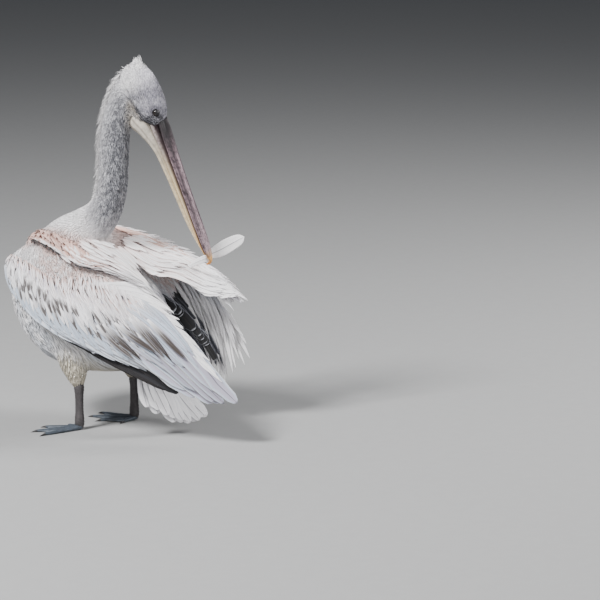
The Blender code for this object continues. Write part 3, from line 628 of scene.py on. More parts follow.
# ---- the skin
@dataclass
class Skin:
    """The one skin under the plumage, made from merged copies of the flesh nodes."""

    voxel: float = 3.5 * MM
    stuffing: float = 11.0 * MM      # radius of the balls of down that fill hollows
    fuse_rounds: int = 14
    blend_rounds: int = 26
    depths: tuple = (6.0, 3.0, 2.2, 4.5, 5.0, 4.0, 5.0, 5.0)    # millimetres of plumage on each limb

    def __post_init__(self) -> None:
        """Fuse the flesh nodes, smooth them, and set them in by the coat's depth."""
        merged, limb_of_face = self.copy_of_flesh()
        points, faces = self.fused(merged)
        self.triangles = np.vstack([faces[:, [0, 1, 2]], faces[:, [0, 2, 3]]])
        self.faces = faces
        self.edges = np.unique(np.sort(np.vstack([faces[:, [0, 1]], faces[:, [1, 2]], faces[:, [2, 3]],
                                                  faces[:, [3, 0]]]), axis=1), axis=0)
        count = len(points)
        self.valence = np.bincount(self.edges.ravel(), minlength=count).astype(float)[:, None]
        cad = BVHTree.FromPolygons([tuple(v.co) for v in merged.verts],
                                   [tuple(v.index for v in f.verts) for f in merged.faces])
        merged.free()
        near = np.array([cad.find_nearest(Vector(point))[2] for point in points])
        weights = np.zeros((count, len(LIMBS)))
        weights[np.arange(count), limb_of_face[near]] = 1.0
        for _ in range(self.blend_rounds):
            weights = self.averaged(weights)
        self.weights = weights
        for _ in range(self.fuse_rounds):
            points = points * 0.4 + self.averaged(points) * 0.6
        self.points = points
        self.normals = self.vertex_normals()
        self.set_in()
        self.normals = self.vertex_normals()
        self.flow = self.lie()
        self.index_tree()

    def stuff(self, body: bmesh.types.BMesh, spots: Sequence) -> None:
        """Fill hollows of the copy with small balls.

        Args:
            body: The copy of the flesh.
            spots: Where they go.
        """
        for spot in spots:
            bmesh.ops.create_icosphere(body, subdivisions=2, radius=self.stuffing,
                                       matrix=Matrix.Translation(Vector(spot)))

    def copy_of_flesh(self) -> tuple[bmesh.types.BMesh, Array]:
        """Merge copies of the flesh nodes and say which limb each face belongs to.

        Returns:
            The copy and each face's limb, as its number.
        """
        merged, labels = bmesh.new(), []
        for number, limb in enumerate(LIMBS):
            for node in limb.value:
                merged.from_mesh(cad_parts[node].data)
                labels += [number] * (len(merged.faces) - len(labels))
        chin = bmesh.new()
        chin.from_mesh(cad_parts["pouch"].data)
        bmesh.ops.bisect_plane(chin, geom=[*chin.verts, *chin.edges, *chin.faces], clear_outer=True,
                               plane_co=Vector(STANCE.on_head(-10 * MM, 0.0)),
                               plane_no=Vector(STANCE.head_axes[0]))
        bmesh.ops.holes_fill(chin, edges=chin.edges[:])
        mesh = poured("chin", chin)
        merged.from_mesh(mesh)
        bpy.data.meshes.remove(mesh)
        throat = ((-0.048, -0.040), (-0.038, -0.041), (-0.028, -0.041), (-0.020, -0.041))
        self.stuff(merged, [STANCE.on_head(*spot, aside) for spot in throat
                            for aside in (-8 * MM, 0.0, 8 * MM)])
        labels += [LIMBS.index(Limb.HEAD)] * (len(merged.faces) - len(labels))
        for limb, mantle, wing in ((Limb.WING_LEFT, LEFT_MANTLE, LEFT_WING),
                                   (Limb.WING_RIGHT, RIGHT_MANTLE, RIGHT_WING)):
            along = np.linspace(0.02, 0.50, 26)
            middle = (mantle.at(along, 0.0)[0] + wing.at(along, 1.0)[0]) / 2 - np.array([0.0, 0.0, 5.0 * MM])
            middle[:, 0] -= np.sign(middle[:, 0] - BETWEEN_FEET[0]) * 8.0 * MM
            edge = wing.at(np.full(14, 0.03), np.linspace(0.12, 1.0, 14))[0]
            inwards = unit(np.array([BETWEEN_FEET[0], 0.0, 0.29]) - edge) * np.array([1.0, 0.35, 0.6])
            front = [edge + inwards * step for step in (6 * MM, 15 * MM, 24 * MM, 33 * MM)]
            mirrored = (1.0 if limb is Limb.WING_LEFT else -1.0, 1.0, 1.0)
            armpit = BETWEEN_FEET + np.array([(0.056, -0.161, 0.368), (0.048, -0.163, 0.376),
                                              (0.081, -0.185, 0.321), (0.074, -0.178, 0.325)]) * mirrored
            self.stuff(merged, np.concatenate([middle, *front, armpit]))
            labels += [LIMBS.index(limb)] * (len(merged.faces) - len(labels))
        merged.faces.ensure_lookup_table()
        layer = merged.faces.layers.int.new("limb")
        for face, label in zip(merged.faces, labels):
            face[layer] = label
        bmesh.ops.remove_doubles(merged, verts=merged.verts, dist=0.01 * MM)
        merged.verts.index_update()
        return merged, np.array([face[layer] for face in merged.faces])

    def fused(self, merged: bmesh.types.BMesh) -> tuple[Array, Array]:
        """Melt the merged solids into one closed surface of even squares.

        Args:
            merged: The merged solids.

        Returns:
            The vertices and the squares' corners.
        """
        mesh = bpy.data.meshes.new("flesh")
        merged.to_mesh(mesh)
        body = placed("flesh", mesh)
        melt = body.modifiers.new("melt", "REMESH")
        melt.mode, melt.voxel_size = "VOXEL", self.voxel
        done = bpy.data.meshes.new_from_object(body.evaluated_get(bpy.context.evaluated_depsgraph_get()))
        points = np.empty(len(done.vertices) * 3)
        done.vertices.foreach_get("co", points)
        corners = np.empty(len(done.loops), dtype=np.int32)
        done.loops.foreach_get("vertex_index", corners)
        bpy.data.objects.remove(body)
        bpy.data.meshes.remove(mesh)
        bpy.data.meshes.remove(done)
        return points.reshape(-1, 3), corners.reshape(-1, 4)

    def averaged(self, values: Array) -> Array:
        """Give each vertex the mean of its neighbours' values.

        Args:
            values: One row for each vertex.

        Returns:
            The means, one row each.
        """
        first, second = self.edges.T
        count = len(self.valence)
        total = np.stack([np.bincount(first, there, count) + np.bincount(second, here, count)
                          for there, here in zip(values[second].T, values[first].T)], axis=1)
        return total / np.maximum(self.valence, 1.0)

    def vertex_normals(self) -> Array:
        """Work out smooth outward directions at the vertices.

        Returns:
            Unit vectors, one row each.
        """
        a, b, c = (self.points[self.triangles[:, k]] for k in range(3))
        face = np.cross(b - a, c - a)
        count = len(self.points)
        total = np.zeros((count, 3))
        for k in range(3):
            for axis in range(3):
                total[:, axis] += np.bincount(self.triangles[:, k], face[:, axis], count)
        return unit(total)

    def set_in(self) -> None:
        """Move the surface inwards by the coat's depth, less where the body is thin."""
        tree = BVHTree.FromPolygons(self.points.tolist(), self.triangles.tolist())
        depth = self.weights @ (np.array(self.depths) * MM)
        reach = 60.0 * MM
        room = np.full(len(self.points), reach)
        for index, (point, normal) in enumerate(zip(self.points, self.normals)):
            hit = tree.ray_cast(Vector(point - normal * 0.05 * MM), Vector(-normal), reach)
            if hit[0] is not None:
                room[index] = hit[3]
        depth = np.minimum(depth, 0.27 * room)[:, None]
        for _ in range(6):
            depth = np.minimum(depth, self.averaged(depth))
        self.points = self.points - self.normals * depth

    def limb(self, limb: Limb) -> Array:
        """Give how far each vertex belongs to a limb, from 0 to 1."""
        return self.weights[:, LIMBS.index(limb)]

    def lie(self) -> Array:
        """Work out which way the feathers point at each vertex.

        Returns:
            Unit vectors, one row each.
        """
        points, normals = self.points, self.normals
        _, run, _ = STANCE.along_neck(points)
        forward, up, _ = STANCE.head_axes
        side = np.sign(points[:, 0] - BETWEEN_FEET[0])[:, None]
        back = np.clip((points[:, 1:2] + 0.19) / 0.40, 0.0, 1.0)
        wings = np.array([0.0, 0.42, -0.90]) * (1 - back) + np.array([0.0, 0.80, -0.60]) * back
        mantle = np.array([0.0, 0.92, -0.30]) + side * np.array([0.35, 0.0, 0.0]) * (1 - back)
        heading = {
            Limb.TRUNK: np.array([0.0, 0.62, -0.78]) + np.zeros_like(points),
            Limb.NECK: -run,
            Limb.HEAD: -forward + 0.12 * up + np.zeros_like(points),
            Limb.THIGH: np.array([0.0, 0.10, -1.0]) + np.zeros_like(points),
            Limb.MANTLE_LEFT: mantle, Limb.MANTLE_RIGHT: mantle,
            Limb.WING_LEFT: wings, Limb.WING_RIGHT: wings,
        }
        flow = sum(flat_on(heading[limb], normals) * self.limb(limb)[:, None] for limb in LIMBS)
        for _ in range(12):
            flow = flat_on(flow * 0.5 + self.averaged(flow) * 0.5, normals)
        return flow

    def index_tree(self) -> None:
        """Make the tree that finds the nearest place on the skin."""
        self.tree = BVHTree.FromPolygons(self.points.tolist(), self.triangles.tolist())

    def nearest(self, places: Array) -> tuple[Array, Array]:
        """Find the nearest spots of the skin and the triangles that hold them."""
        found = [self.tree.find_nearest(place) for place in places.tolist()]
        return np.array([hit[0] for hit in found]), np.array([hit[2] for hit in found])

    def blend(self, spots: Array, held: Array, values: Array) -> Array:
        """Blend a value of the vertices at spots on the skin.

        Args:
            spots: Places on the skin.
            held: The triangle that each lies in.
            values: One row for each vertex.

        Returns:
            One row for each spot.
        """
        corners = self.triangles[held]
        a, b, c = (self.points[corners[:, k]] for k in range(3))
        face = np.cross(b - a, c - a)
        area = np.maximum((face ** 2).sum(-1), 1e-20)
        second = (np.cross(spots - a, c - a) * face).sum(-1) / area
        third = (np.cross(b - a, spots - a) * face).sum(-1) / area
        shares = np.clip(np.stack([1 - second - third, second, third], axis=1), 0.0, 1.0)
        shares /= shares.sum(1, keepdims=True)
        return sum(values[corners[:, k]] * shares[:, k:k + 1] for k in range(3))

    def scatter(self, spacing: float, wanted: Array, seed: int) -> tuple[Array, Array]:
        """Spread feather roots evenly over part of the skin.

        Args:
            spacing: The distance between roots.
            wanted: For each vertex, whether roots may lie there, from 0 to 1.
            seed: Fixes the random draw.

        Returns:
            The roots and the triangles that hold them.
        """
        draw = np.random.default_rng(seed)
        a, b, c = (self.points[self.triangles[:, k]] for k in range(3))
        area = np.linalg.norm(np.cross(b - a, c - a), axis=1) / 2
        chance = area * (wanted[self.triangles].mean(1) > 0.5)
        count = int(3.2 * chance.sum() / spacing ** 2)
        held = draw.choice(len(area), size=count, p=chance / chance.sum())
        first, second = draw.random((2, count))
        turned = first + second > 1
        first, second = np.where(turned, 1 - first, first), np.where(turned, 1 - second, second)
        spots = a[held] + (b - a)[held] * first[:, None] + (c - a)[held] * second[:, None]
        for offset in ((0, 0, 0), (0.5, 0.5, 0.5), (0.5, 0, 0.25), (0, 0.5, 0.75), (0.25, 0.75, 0.5)):
            cells = np.floor(spots / spacing + np.array(offset)).astype(np.int64)
            key = (cells[:, 0] * 92837111) ^ (cells[:, 1] * 689287499) ^ (cells[:, 2] * 283923481)
            _, kept = np.unique(key, return_index=True)
            kept = np.sort(kept)
            spots, held = spots[kept], held[kept]
        return spots, held


# ---- plumage colours and painted shade, shared by skin and coat
STREAKS = (-8 * MM, 0.0, 7 * MM)     # how far across the cheek each of its dark streaks lies
STREAK_REACH = 2.2 * MM              # how far a streak reaches to either side


def along_streaks(head: Array) -> Array:
    """Turn head coordinates into places along the cheek's streaks and across them."""
    return ((head[:, :2] - (-0.068, -0.046)) @ np.array([[0.934, -0.357], [0.357, 0.934]])).T


def markings_and_painted_shade(points: Array, weights: Array) -> Array:
    """Give the plumage colour at places on the body, with painted shade in the hollow between the wings and in
    the gaps under the mantles' edges.

    Args:
        points: Places, one row each.
        weights: How far each belongs to each limb.

    Returns:
        Linear colours, one row each.
    """
    share = {limb: weights[:, number] for number, limb in enumerate(LIMBS)}
    fine = 0.5 * blotches(points, 3.4 * MM, 1) + 0.5 * blotches(points, 5.5 * MM, 3)
    coarse = blotches(points, 28 * MM, 2)
    dots = ramp(0.46, 0.58, fine)
    drop, onward = points[:, 2], points[:, 1]
    trunk = mix(Tone.SNOW.rgb, Tone.BLUE_GREY.rgb, 0.45 * ramp(0.40, 0.75, coarse))
    trunk = mix(trunk, Tone.CREAM.rgb, 0.75 * ramp(0.175, 0.125, drop))
    thigh = mix(Tone.CREAM.rgb, Tone.BEIGE.rgb, 0.35 * ramp(0.16, 0.10, drop) + 0.15 * coarse)
    rust = ramp(0.03, -0.10, onward) * ramp(0.20, 0.52, coarse * 0.6 + fine * 0.4)
    rust *= 0.90 - 0.45 * share[Limb.MANTLE_RIGHT]
    mantle = mix(Tone.SNOW.rgb, Tone.PINK.rgb, ramp(0.12, -0.02, onward))
    mantle = mix(mantle, Tone.RUST.rgb, rust)
    low = ramp(0.330, 0.240, drop + 0.35 * onward)
    wing = mix(Tone.SNOW.rgb, Tone.ROSE.rgb, 0.72 * ramp(0.36, 0.58, fine))
    wing = mix(wing, Tone.BLUE_GREY.rgb, 0.75 * low)
    wing = mix(wing, Tone.SNOW.rgb, ramp(-0.125, -0.185, onward))
    mantles = share[Limb.MANTLE_LEFT] + share[Limb.MANTLE_RIGHT]
    wings = share[Limb.WING_LEFT] + share[Limb.WING_RIGHT]
    regions = ((trunk, share[Limb.TRUNK]), (neck_colour(points, dots), share[Limb.NECK]),
               (face_colour(points, dots), share[Limb.HEAD]), (thigh, share[Limb.THIGH]),
               (mantle, mantles), (wing, wings))
    total = sum(colour * part[:, None] for colour, part in regions)
    # painted shade: lavender darkening in the hollow between the wings at the back
    painted_hollow_shade = ramp(0.02, 0.07, onward) * ramp(0.041, 0.019, points[:, 0]) * ramp(-0.161, -0.136, points[:, 0])
    total = mix(total, Tone.LAVENDER.rgb, painted_hollow_shade * ramp(0.9, 0.2, share[Limb.MANTLE_LEFT]) * 0.6)
    # painted shade: umber on the wings in the gaps under the mantles' outer edges
    return np.clip(mix(total, Tone.UMBER.rgb, groove(points) * ramp(0.3, 0.7, wings) * 0.80), 0.0, 1.0)


def neck_colour(points: Array, dots: Array) -> Array:
    """Speckle the white neck with grey, and with dark dots on top of it.

    Args:
        points: Places, one row each.
        dots: How dark a dot each place bears, from 0 to 1.

    Returns:
        Linear colours, one row each.
    """
    height, _, throat = STANCE.along_neck(points)
    density = neck_density(height, throat)
    # real grey speckle, laid thicker towards the throat and lower down as painted shade
    neck = mix(Tone.WHITE.rgb, Tone.MID_GREY.rgb, density * 0.66)
    neck = mix(neck, Tone.SPECKLE.rgb, dots * density * 0.62)
    return mix(Tone.SNOW.rgb, neck, ramp(0.10, 0.35, density))


def face_colour(points: Array, dots: Array) -> Array:
    """Speckle the face, and darken it round the eye, before the eye and along the cheek's streaks.

    Args:
        points: Places, one row each.
        dots: How dark a dot each place bears, from 0 to 1.

    Returns:
        Linear colours, one row each.
    """
    head = STANCE.from_head(points)
    ahead, above = head[:, 0], head[:, 1]
    crown = ramp(-0.072, -0.096, ahead + 0.10 * (above + 0.02))
    face = mix(Tone.WHITE.rgb, Tone.MID_GREY.rgb, 0.08 + 0.50 * ramp(0.42, 0.66, blotches(points, 10 * MM, 5)))
    face = mix(mix(face, Tone.SPECKLE.rgb, dots * 0.55), Tone.SNOW.rgb, crown)
    lores = np.exp(-((ahead + 0.012) / 0.014) ** 2 - ((above + 0.002) / 0.012) ** 2)
    orbit = np.exp(-((ahead + 0.0300) / 0.012) ** 2 - ((above - 0.003) / 0.011) ** 2)
    face = mix(face, Tone.BLACK.rgb, np.clip(0.22 * lores + 0.85 * orbit, 0, 0.9))
    along, off = along_streaks(head)
    inked = sum(np.exp(-((off - shift) / STREAK_REACH) ** 2) for shift in STREAKS)
    inked *= ramp(0.0, 0.03, along) * ramp(0.088, 0.074, along)
    inked *= ramp(0.28, 0.52, blotches(points, 4.5 * MM, 9))
    face = mix(face, Tone.BLACK.rgb, np.clip(inked, 0, 1) * 0.92)
    chin = ramp(-0.026, -0.040, above) * ramp(-0.075, -0.045, ahead)
    return mix(face, Tone.BEIGE.rgb, chin * 0.7)


def neck_density(height: Array, throat: Array) -> Array:
    """Say how thickly the neck is speckled, from 0 to 1, by height and by the way round it; the real speckle is
    laid thicker towards the throat and lower down as painted shade.
    """
    round_it = ramp(-0.98, -0.55, throat) * (0.50 + 0.50 * ramp(-0.55, 0.60, throat))
    return round_it * ramp(0.27, 0.41, height) * (0.74 + 0.26 * ramp(0.95, 0.60, height))


def groove(points: Array) -> Array:
    """Say how deep places lie in the gap under a mantle's outer edge, from 0 to 1.

    Args:
        points: Places, one row each.

    Returns:
        One share for each place.
    """
    depth = np.zeros(len(points))
    for plate in (LEFT_MANTLE, RIGHT_MANTLE):
        rail = plate.rails(60)[1][6:44] + BETWEEN_FEET
        gap = np.sqrt(((points[:, None] - rail[None]) ** 2).sum(-1)).min(1)
        depth = np.maximum(depth, ramp(10 * MM, 4 * MM, gap))
    return depth


# ---- feathers
class Section(Enum):
    """Cross-sections of a vane as (across, lift) points round it: three for a tuft, eleven for a quill."""

    TUFT = ((-1.0, 0.0), (0.0, 1.0), (1.0, 0.0))
    QUILL = ((-1.0, 0.0), (-0.86, 0.42), (-0.50, 0.50), (-0.07, 0.55), (0.0, 1.0), (0.07, 0.55), (0.50, 0.50),
             (0.86, 0.42), (1.0, 0.0), (0.45, -0.45), (-0.45, -0.45))


class Tip(Enum):
    """Outlines of a feather, as the share of its length where it is widest and how blunt it ends."""

    HAIR = (0.25, 1.0)
    LANCE = (0.40, 1.45)
    POINT = (0.50, 1.9)
    ROUND = (0.62, 3.6)

    def width(self, along: Array) -> Array:
        """Give the share of the full width at each share of the length.

        Args:
            along: Shares of the length.

        Returns:
            One share for each.
        """
        widest, blunt = self.value
        rise = 0.34 + 0.66 * np.sin(np.clip(along / widest, 0, 1) * np.pi / 2)
        fall = 1.0 - np.clip((along - widest) / (1 - widest), 0, 1) ** blunt
        return rise * np.maximum(fall, 0.0) ** (0.5 if blunt > 3 else 0.8)


STATIONS = {Section.TUFT: np.array([0.0, 0.30, 0.70, 1.0]),
            Section.QUILL: np.array([0.0, 0.10, 0.24, 0.40, 0.56, 0.70, 0.80, 0.88, 0.94, 0.98, 1.0])}
PATCH = 0.003                    # width of a feather's patch on the bake map


class Coat:
    """The feathers of one piece, gathered as arrays and joined into one closed-vane mesh."""

    def __init__(self, name: str, slot: str) -> None:
        """Start an empty piece.

        Args:
            name: Its name.
            slot: The slot of its colour.
        """
        self.name, self.slot_name, self.count = name, slot, 0
        self.points, self.colours, self.vanes, self.roots, self.loops, self.sizes = [], [], [], [], [], []
        self.vertices = 0

    def add(self, section: Section, centre: Array, out: Array, half: Array, thick: Array, colour: Array,
            root: Array) -> None:
        """Add a batch of feathers.

        Args:
            section: Their cross-section.
            centre: The shafts' places, one row of stations for each feather.
            out: The outward directions there.
            half: Half the vane's width there.
            thick: Half the vane's thickness, one for each feather.
            colour: Linear colours, for each feather, station and point of the section.
            root: Each feather's place on the unwrapped skin.
        """
        shape = np.array(section.value)
        feathers, stations = half.shape
        ring = len(shape)
        along = unit(np.gradient(centre, axis=1))
        side = unit(np.cross(out, along))
        top = np.cross(along, side)
        reach = half[..., None] * shape[:, 0]
        lift = thick[:, None, None] * shape[:, 1] * np.ones_like(reach)
        lift *= np.clip(half / np.maximum(half.max(1, keepdims=True), 1e-9) * 2.2, 0.25, 1.0)[..., None]
        body = centre[:, :, None] + side[:, :, None] * reach[..., None] + top[:, :, None] * lift[..., None]
        body = body[:, :-1].reshape(feathers, -1, 3)
        points = np.concatenate([body, centre[:, -1:]], axis=1)
        tints = np.concatenate([colour[:, :-1].reshape(feathers, -1, 3), colour[:, -1:].mean(2)], axis=1)
        across = 0.5 + 0.5 * np.tile(shape[:, 0], stations - 1)
        steps = STATIONS[section] if len(STATIONS[section]) == stations else np.linspace(0, 1, stations)
        vane = np.stack([np.append(across, 0.5), np.append(np.repeat(steps[:-1], ring), 1.0)], axis=1)
        k, c = np.meshgrid(np.arange(stations - 2), np.arange(ring), indexing="ij")
        k, c, after = k.ravel(), c.ravel(), (c.ravel() + 1) % ring
        quads = np.stack([k * ring + c, (k + 1) * ring + c, (k + 1) * ring + after, k * ring + after], axis=1)
        last, corner = (stations - 2) * ring, np.arange(ring)
        tips = np.stack([last + corner, np.full(ring, points.shape[1] - 1), last + (corner + 1) % ring], axis=1)
        one = np.concatenate([quads.ravel(), tips.ravel(), corner])
        sizes = np.concatenate([np.full(len(quads), 4), np.full(ring, 3), [ring]])
        start = self.vertices + np.arange(feathers)[:, None] * points.shape[1]
        self.loops.append((one[None] + start).ravel())
        self.sizes.append(np.tile(sizes, feathers))
        self.points.append(points.reshape(-1, 3))
        self.colours.append(tints.reshape(-1, 3))
        self.vanes.append(np.tile(vane, (feathers, 1)))
        spread = (vane[None] - 0.5) * PATCH * np.array([0.7, 0.9])
        self.roots.append((np.clip(root, PATCH, 1 - PATCH)[:, None] + spread).reshape(-1, 2))
        self.vertices += feathers * points.shape[1]
        self.count += feathers

    def build(self, finish: bpy.types.Material, *nodes: str) -> bpy.types.Object:
        """Join the feathers into a piece that rides on the body, and stands for nodes where it has any.

        Args:
            finish: The feathers' material.
            *nodes: The nodes that it stands for.

        Returns:
            The piece.
        """
        points, loops, sizes = (np.concatenate(part) for part in (self.points, self.loops, self.sizes))
        mesh = bpy.data.meshes.new(self.name)
        mesh.vertices.add(len(points))
        mesh.vertices.foreach_set("co", points.ravel())
        mesh.loops.add(len(loops))
        mesh.loops.foreach_set("vertex_index", loops.astype(np.int32))
        mesh.polygons.add(len(sizes))
        mesh.polygons.foreach_set("loop_start", (np.cumsum(sizes) - sizes).astype(np.int32))
        mesh.update(calc_edges=True)
        for title, rows in (("vane", self.vanes), ("OFBake", self.roots)):
            layer = mesh.uv_layers.new(name=title)
            layer.uv.foreach_set("vector", np.concatenate(rows)[loops].ravel())
        LOG.info("%s: %d feathers, %d triangles", self.name, self.count, int((sizes - 2).sum()))
        return settle(dressed(self.name, mesh, np.concatenate(self.colours), finish), self.slot_name, *nodes)


@dataclass(frozen=True)
class Tuft:
    """A kind of small feather that grows from the skin."""

    length: float
    width: float
    spacing: float
    rise: float                  # how far the tip stands off the skin
    sunk: float = 1.2 * MM       # how deep the root lies
    thick: float = 0.35 * MM
    tip: Tip = Tip.LANCE
    scatter_turn: float = 0.16   # how far a feather strays from the lie, in radians
    vary: float = 0.18           # how much lengths differ
    fade: float = 0.10           # painted shade: how much darker the root and the rims are than the middle
    mottle: float = 0.08         # how much neighbours differ in tone


class Plumage:
    """Grows tufts from the skin."""

    def __init__(self, skin: Skin) -> None:
        """Keep the skin that everything grows from."""
        self.skin = skin

    def traced(self, spots: Array, held: Array, heading: Array, length: Array, steps: Array,
               follow: float = 0.35) -> tuple[Array, Array]:
        """Walk from roots over the skin.

        Args:
            spots: The roots, on the skin.
            held: The triangles that hold them.
            heading: Which way each feather sets out.
            length: How far each goes.
            steps: The shares of the length to stop at.
            follow: How much a feather turns with the lie at each stop.

        Returns:
            The places on the skin and the outward directions, a row of stops for each feather.
        """
        skin = self.skin
        out = unit(skin.blend(spots, held, skin.normals))
        heading = flat_on(heading, out)
        places, outs = [spots], [out]
        for near, far in zip(steps[:-1], steps[1:]):
            ahead = spots + heading * (length * (far - near))[:, None]
            spots, held = skin.nearest(ahead)
            out = unit(skin.blend(spots, held, skin.normals))
            lie = skin.blend(spots, held, skin.flow)
            heading = flat_on(heading * (1 - follow) + lie * follow, out)
            places.append(spots)
            outs.append(out)
        return np.stack(places, axis=1), np.stack(outs, axis=1)

    def grow(self, coat: Coat, tuft: Tuft, wanted: Array, unwrap: Callable, seed: int,
             stand: Callable | None = None, dress: Callable | None = None, comb: Array | None = None) -> None:
        """Cover part of the skin with tufts.

        Args:
            coat: The piece to add them to.
            tuft: Their kind.
            wanted: For each vertex of the skin, whether they grow there.
            unwrap: Gives roots their place on the unwrapped skin.
            seed: Fixes the random draws.
            stand: Gives each root a factor for length and one for rise.
            dress: Changes the colours, given roots, colours and the random source.
            comb: Which way they all point, if not with the lie.
        """
        skin, draw = self.skin, np.random.default_rng(seed)
        spots, held = skin.scatter(tuft.spacing, wanted, seed)
        count, steps = len(spots), STATIONS[Section.TUFT]
        out = unit(skin.blend(spots, held, skin.normals))
        free = unit(skin.blend(spots, held, skin.flow))
        lie = free if comb is None else flat_on(np.tile(comb, (count, 1)), out)
        turn = draw.normal(0, tuft.scatter_turn, count)[:, None]
        heading = lie * np.cos(turn) + np.cross(out, lie) * np.sin(turn)
        longer, higher = (1.0, 1.0) if stand is None else stand(spots)
        length = tuft.length * (1 + draw.normal(0, tuft.vary, count)).clip(0.5, 1.6) * longer
        places, outs = self.traced(spots, held, heading, length, steps, 0.35 if comb is None else 0.0)
        rise = tuft.rise * (0.7 + 0.6 * draw.random(count)) * higher
        height = -tuft.sunk * (1 - steps)[None] ** 2 + rise[:, None] * steps[None] ** 0.8
        centre = places + outs * height[..., None]
        half = tuft.width / 2 * tuft.tip.width(steps)[None] * (0.85 + 0.3 * draw.random(count))[:, None]
        base = markings_and_painted_shade(spots, skin.blend(spots, held, skin.weights))
        base = base * (1 + draw.normal(0, tuft.mottle, count))[:, None]
        # painted shade: each tuft is darkened towards its root and its rims, for the shade between the feathers
        tone = 1.0 - tuft.fade * (1 - steps)[None, :, None] * np.ones((count, 1, 3))
        ridge = 1.0 - tuft.fade * np.abs(np.array(Section.TUFT.value)[:, 0]) * 0.7
        colour = base[:, None, None] * tone[..., :, None] * ridge[None, None, :, None]
        if dress is not None:
            colour = dress(spots, colour, draw)
        coat.add(Section.TUFT, centre, outs, half, np.full(count, tuft.thick), np.clip(colour, 0, 1),
                 unwrap(spots))


# ---- unwraps of the skin's own shape
def unwrap_neck(spots: Array) -> Array:
    """Unroll the neck: along its spine and round it.

    Args:
        spots: Places on the skin, one row each.

    Returns:
        Places on the map, one row each.
    """
    height, run, _ = STANCE.along_neck(spots)
    radial = spots - STANCE.spine()[(height * 89).astype(int)]
    ahead = np.cross(run, np.array([1.0, 0.0, 0.0]))
    turn = np.arctan2(radial[:, 0], (radial * ahead).sum(1)) / (2 * np.pi)
    return np.stack([0.5 + turn * 0.98, height], axis=1)


def unwrap_head(spots: Array) -> Array:
    """Unroll the head: along it and round it.

    Args:
        spots: Places on the skin, one row each.

    Returns:
        Places on the map, one row each.
    """
    local = STANCE.from_head(spots)
    turn = np.arctan2(local[:, 2], local[:, 1] + 0.012)
    return np.stack([0.5 + turn / (2 * np.pi) * 0.98, np.clip(-local[:, 0] / 0.16, 0, 1)], axis=1)


def unwrap_body(spots: Array) -> Array:
    """Unroll the trunk, thighs, mantle or wings: from front to back and round the body."""
    turn = np.arctan2(spots[:, 0] - BETWEEN_FEET[0], spots[:, 2] - 0.26)
    return np.stack([0.5 + turn / (2 * np.pi) * 0.98, np.clip((spots[:, 1] + 0.30) / 0.60, 0, 1)], axis=1)


